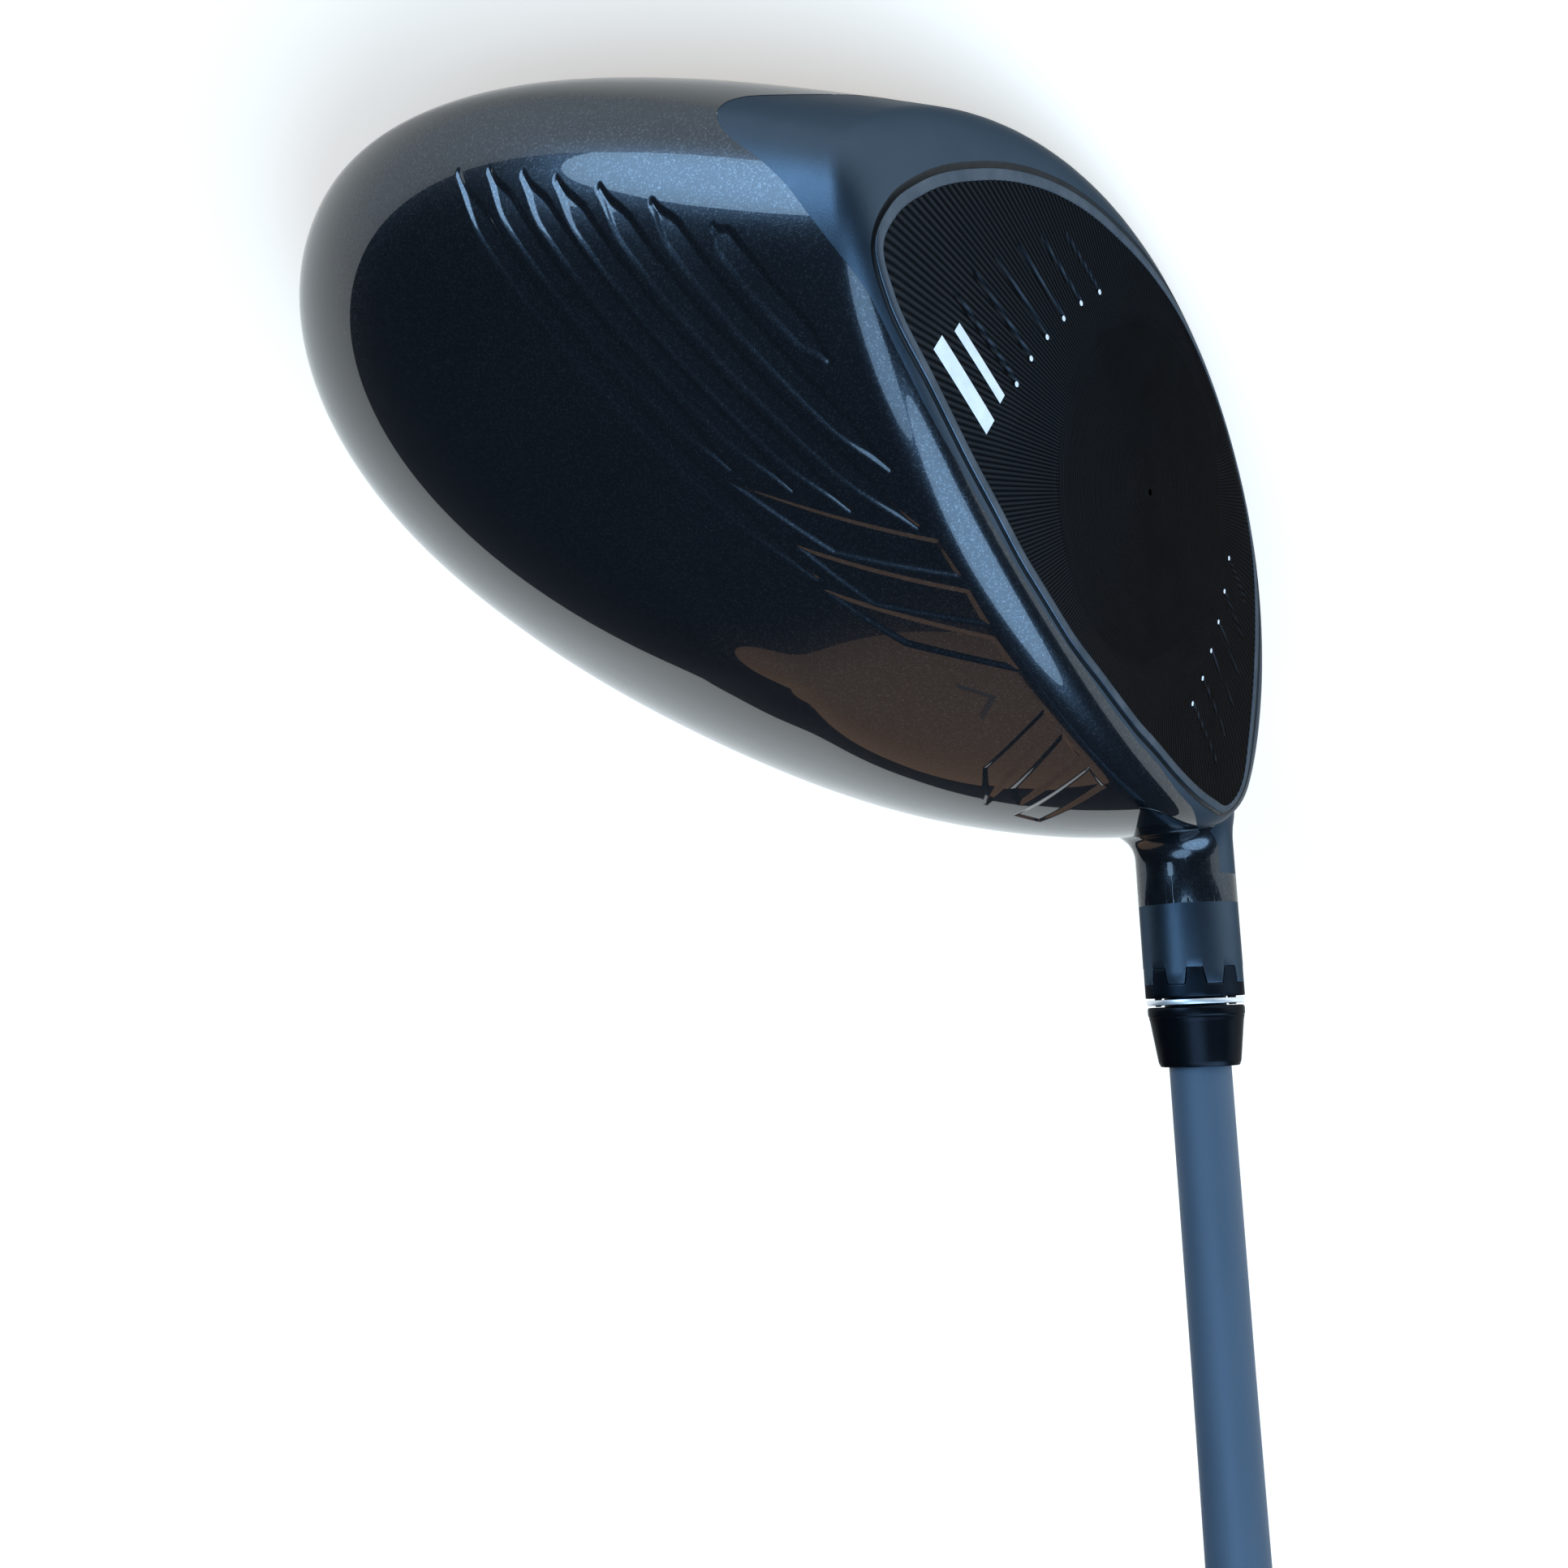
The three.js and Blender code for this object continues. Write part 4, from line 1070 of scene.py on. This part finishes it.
ring = lathe("ring_detail", [(4.7, 24.4), (6.75, 24.4), (6.75, 25.1), (4.7, 25.1)], ring_silver)
ferrule = lathe("ferrule_detail", [(4.7, 25.4), (6.62, 25.4), (6.75, 25.7), (6.72, 26.6), (6.6, 26.75),
                                   (6.62, 26.95), (6.5, 27.4), (5.72, 33.1), (5.65, 33.3), (5.45, 33.8),
                                   (4.5, 33.8)], ferrule_black, bevel=0.15)
shaft_outline = [(3.1, -3.4), (SHAFT_TIP_R, -3.4)] + [(SHAFT_TIP_R, t) for t in (20, 60, TAPER_FROM)]
shaft_outline += [(shaft_radius(t), t) for t in range(100, 801, 50)] + [(SHAFT_BUTT_R, 1114), (6.4, 1114)]
shaft = lathe("shaft_detail", shaft_outline, shaft_paint, bevel=0.3)
placed(ring, "shaft_line", "silver_ring", "ferrule_ring")
placed(ferrule, "shaft_line", "ferrule_plastic", "ferrule")
placed(shaft, "shaft_line", "painted_shaft", "shaft")

# Bright bands on the shaft, as (station, width).
BANDS = ((330, 1.2), (334, 0.6), (470, 1.2))
bands = []
for t, w in BANDS:
    outline = [(shaft_radius(t) + 0.015, t), (shaft_radius(t + w) + 0.03, t + w)]
    bands.append(lathe("tmp_band", outline, ring_silver, bevel=0.01))
placed(joined("shaft_bands", bands), "shaft_line", "silver_ring")

# Grip: a tapered rubber sleeve with rows of shallow pockets, broken by stretches of fine rings.
GRIP_FOOT = 851.3
GRIP_TOP = 1109.8
GRIP_BORE = 9.0
GRIP_TURNS = 192
GRIP_ROWS = 760
GRIP_STATIONS = [851, 852, 857, 1068, 1098, 1108, 1110]
GRIP_RADII = [9.1, 9.7, 10.0, 11.9, 12.2, 12.9, 13.05]
PATTERN_FROM = 862
PATTERN_TO = 1094
POCKET_PITCH = 5.2
POCKETS_ROUND = 14
POCKET_DEPTH = 0.34
STRETCH = 58
RING_PITCH = 2.4
RING_DEPTH = 0.3


def build_grip():
    turn = np.linspace(0, 2 * math.pi, GRIP_TURNS, endpoint=False)[None, :]
    t = np.linspace(GRIP_FOOT, GRIP_TOP, GRIP_ROWS)[:, None]
    r = np.interp(t, GRIP_STATIONS, GRIP_RADII)
    inside = np.clip((t - PATTERN_FROM) / 4, 0, 1) * np.clip((PATTERN_TO - t) / 4, 0, 1)
    row = np.floor(t / POCKET_PITCH)
    du = np.abs((t / POCKET_PITCH) % 1 - 0.5) * 2
    dr = np.abs((turn * POCKETS_ROUND / (2 * math.pi) + 0.5 * (row % 2)) % 1 - 0.5) * 2
    diamond = np.clip((0.86 - (du + dr)) / 0.22, 0, 1)
    ringed = (np.floor((t - PATTERN_FROM) / STRETCH) % 4 == 3)
    rings = 0.5 + 0.5 * np.cos(t * 2 * math.pi / RING_PITCH)
    depth = inside * np.where(ringed, RING_DEPTH * rings, POCKET_DEPTH * diamond)
    foot, top = (hosel_point(GRIP_BORE, end, turn).reshape(-1, 3) for end in (GRIP_FOOT, GRIP_TOP))
    skin = hosel_point(r - depth, t, turn).reshape(-1, 3)
    points = np.concatenate([foot, skin, top])
    return mesh_object("grip_detail", points, grid_faces(GRIP_ROWS + 2, GRIP_TURNS)[:, ::-1], grip_rubber)


placed(build_grip(), "shaft_line", "grip_rubber", "grip")
cap = lathe("grip_cap_detail", [
    (0.95, 1103), (5.9, 1103), (5.9, 1114.4), (8.5, 1114.4), (8.5, 1110.4), (13.1, 1110.4), (13.35, 1112),
    (13.35, 1116.4), (12.0, 1118.3), (9.9, 1118.95), (8.9, 1118.95), (8.6, 1118.6), (7.8, 1118.6),
    (7.5, 1118.95), (1.4, 1118.95), (0.95, 1118.5), (0.95, 1103.2)], grip_rubber, bevel=0.3)
placed(cap, "shaft_line", "grip_rubber", "grip_cap")

# ---- Sole ----

HEX_R = 2.05
HEX_BOTTOM = -3.3
PORT_SIDES = 160
WEIGHT_SIDES = 96


def square_to(out):
    """Two directions square to a weight's axis."""
    a = unit(np.cross(out, np.array([0.0, 1.0, 0.0])))
    return a, np.cross(out, a)


def turned_on(name, at, out, outline, made, bevel, shaped=None):
    """A turned piece about an axis in the sole; outline heights count outwards from the sole."""
    a, b = square_to(out)
    rows = bevelled(outline, bevel)
    turn = np.linspace(0, 2 * math.pi, WEIGHT_SIDES, endpoint=False)
    points = []
    for r, h in rows:
        rad = shaped(r, h, turn) if shaped else r + 0 * turn
        points.append(at + h * out + (rad * np.cos(turn))[:, None] * a + (rad * np.sin(turn))[:, None] * b)
    thing = mesh_object(name, np.concatenate(points), grid_faces(len(rows), WEIGHT_SIDES), made)
    thing.data.set_sharp_from_angle(angle=math.radians(35))
    return thing


def hexed(r, h, turn):
    """Radius of a hex socket where the outline lies inside it."""
    if r > HEX_R or h < HEX_BOTTOM:
        return r + 0 * turn
    sector = (turn + math.pi / 6) % (math.pi / 3) - math.pi / 6
    return r * math.cos(math.pi / 6) / np.cos(sector)


for end, (x, y, r) in WEIGHTS.items():
    at, out = weight_frames[end]
    screw = turned_on(end + "_weight_detail", at, out, [
        (0.0, -12.3), (2.5, -12.3), (2.5, -5.2), (r, -5.2), (r, -1.4), (r - 0.35, -1.05), (r - 0.6, -0.8),
        (r - 1.5, -0.8), (r - 1.7, -1.0), (r - 2.0, -1.0), (r - 2.2, -0.8), (2.0, -0.8), (1.95, -3.2),
        (0.0, -3.2)], weight_dark, bevel=0.12, shaped=hexed)
    placed(screw, end + "_screw", "weight_steel", end + "_weight")
    well = turned_on(end + "_weight_well", at, out, [
        (r + 0.32, 0.02), (r + 0.3, -0.25), (r + 0.3, -6.6), (2.8, -6.6), (2.8, -7.2)], satin, bevel=0.1)
    placed(well, "head", "satin_body")

# The wall of the bolt's port, cut off along the head's surface.
port_rows = [(PORT, t) for t in np.arange(-30.0, -14.0, 0.5)] + [(2.8, -14.5), (2.8, -13.5)]
port_turn = np.linspace(0, 2 * math.pi, PORT_SIDES, endpoint=False)
port_points = np.concatenate([hosel_point(r + 0 * port_turn, t, port_turn) for r, t in port_rows])
port_quads = grid_faces(len(port_rows), PORT_SIDES)[:, ::-1]
port_tris = np.concatenate([port_quads[:, [0, 1, 2]], port_quads[:, [0, 2, 3]]])
port_points, port_tris = clip(port_points, port_tris, lambda p: 0.02 - head_field(p))
port = mesh_object("bolt_port", port_points, port_tris, satin)
port.data.set_sharp_from_angle(angle=math.radians(38))
placed(port, "head", "satin_body")

for name, place in PANELS.items():
    inner, inner_tris = clip(net, triangles, lambda p: in_sole(p, -panel_distance(p, place), -OUTSIDE))
    edge = np.clip((-panel_distance(inner, place)) / 0.6, 0, 1)
    sunk = inner - (0.06 + 0.14 * (1 - edge) ** 2)[:, None] * normals_of(inner)
    panel = mesh_object(name + "_detail", sunk, inner_tris, carbon)
    placed(panel, "head", "carbon_panel", name)
    strip, strip_tris = clip(net, triangles, lambda p: in_sole(p, panel_distance(p, place) + 1.0, -OUTSIDE))
    strip, strip_tris = clip(strip, strip_tris, lambda p: in_sole(
        p, GAP + 0.15 - panel_distance(p, place), -OUTSIDE))
    seat = mesh_object(name + "_seat", strip - 0.75 * normals_of(strip), strip_tris, groove_black)
    placed(seat, "head", "satin_body")

# ---- CAD nodes that stay ----

KEPT = {
    "front_weight_washer": elastomer, "rear_weight_washer": elastomer, "front_weight_insert": steel,
    "rear_weight_insert": steel, "adapter_bolt": steel, "bolt_washer": steel, "bolt_retainer": ferrule_black,
    "shaft_tip_plug": cork, "grip_tape": paper,
}
for name, made in KEPT.items():
    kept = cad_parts[name]
    kept.data.materials.clear()
    kept.data.materials.append(made)

# ---- Floor, light and camera ----

FLOOR_SIZE = 30
FLOOR_GLOW = 0.44
SKY_STRENGTH = 0.07
bpy.ops.mesh.primitive_plane_add(size=FLOOR_SIZE, location=(0, 0, -0.0003))
floor = bpy.context.object
floor.name = "floor"
pale = material("floor_pale", (0.95, 0.78, 0.64), 0, 0.7, specular=0.1)
glow = pale.node_tree.nodes["Principled BSDF"]
glow.inputs["Emission Color"].default_value = (1.0, 0.9, 0.82, 1)
glow.inputs["Emission Strength"].default_value = FLOOR_GLOW
floor.data.materials.append(pale)

world = bpy.data.worlds.new("studio")
bpy.context.scene.world = world
world.use_nodes = True
sky = world.node_tree.nodes["Background"]
sky.inputs["Color"].default_value = (0.62, 0.76, 1.0, 1)
sky.inputs["Strength"].default_value = SKY_STRENGTH
bpy.context.scene.view_settings.view_transform = "Standard"


def soft_sky(name, direction, width, strength, colour):
    """A wide round patch of light, far away, so that it lights the whole floor alike."""
    light = bpy.data.lights.new(name, "SUN")
    light.energy = strength
    light.color = colour
    light.angle = math.radians(width)
    lamp = bpy.data.objects.new(name, light)
    lamp.rotation_euler = (-Vector(direction)).to_track_quat("-Z", "Y").to_euler()
    bpy.context.scene.collection.objects.link(lamp)


# Each light: direction towards it, width in degrees, strength and colour.
DAYLIGHT = (0.46, 0.72, 1.0)
LAMPLIGHT = (1.0, 0.62, 0.38)
soft_sky("heel_window", (-0.33, -0.58, 0.74), 52, 3.1, DAYLIGHT)
soft_sky("toe_window", (0.42, -0.26, 0.87), 44, 1.7, DAYLIGHT)
soft_sky("toe_glint", (0.95, 0.24, 0.2), 30, 1.5, DAYLIGHT)
soft_sky("warm_wall", (-0.66, 0.50, 0.42), 42, 0.22, LAMPLIGHT)

# The camera's place and axes come from solving the photograph's view.
CAMERA_PLACE = (0.1095, -0.0972, 0.1707)
CAMERA_RIGHT = Vector((-0.5042, -0.8233, -0.2606))
CAMERA_DOWN = Vector((-0.6005, 0.1174, 0.7909))
CAMERA_AHEAD = Vector((-0.6206, 0.5553, -0.5537))
camera = bpy.data.cameras.new("camera")
camera.lens = 37.06
camera.sensor_width = 36
camera.clip_start = 0.01
camera.clip_end = 50
viewer = bpy.data.objects.new("camera", camera)
turned = Matrix((CAMERA_RIGHT, -CAMERA_DOWN, -CAMERA_AHEAD)).transposed().to_4x4()
viewer.matrix_world = Matrix.Translation(CAMERA_PLACE) @ turned
bpy.context.scene.collection.objects.link(viewer)
bpy.context.scene.camera = viewer
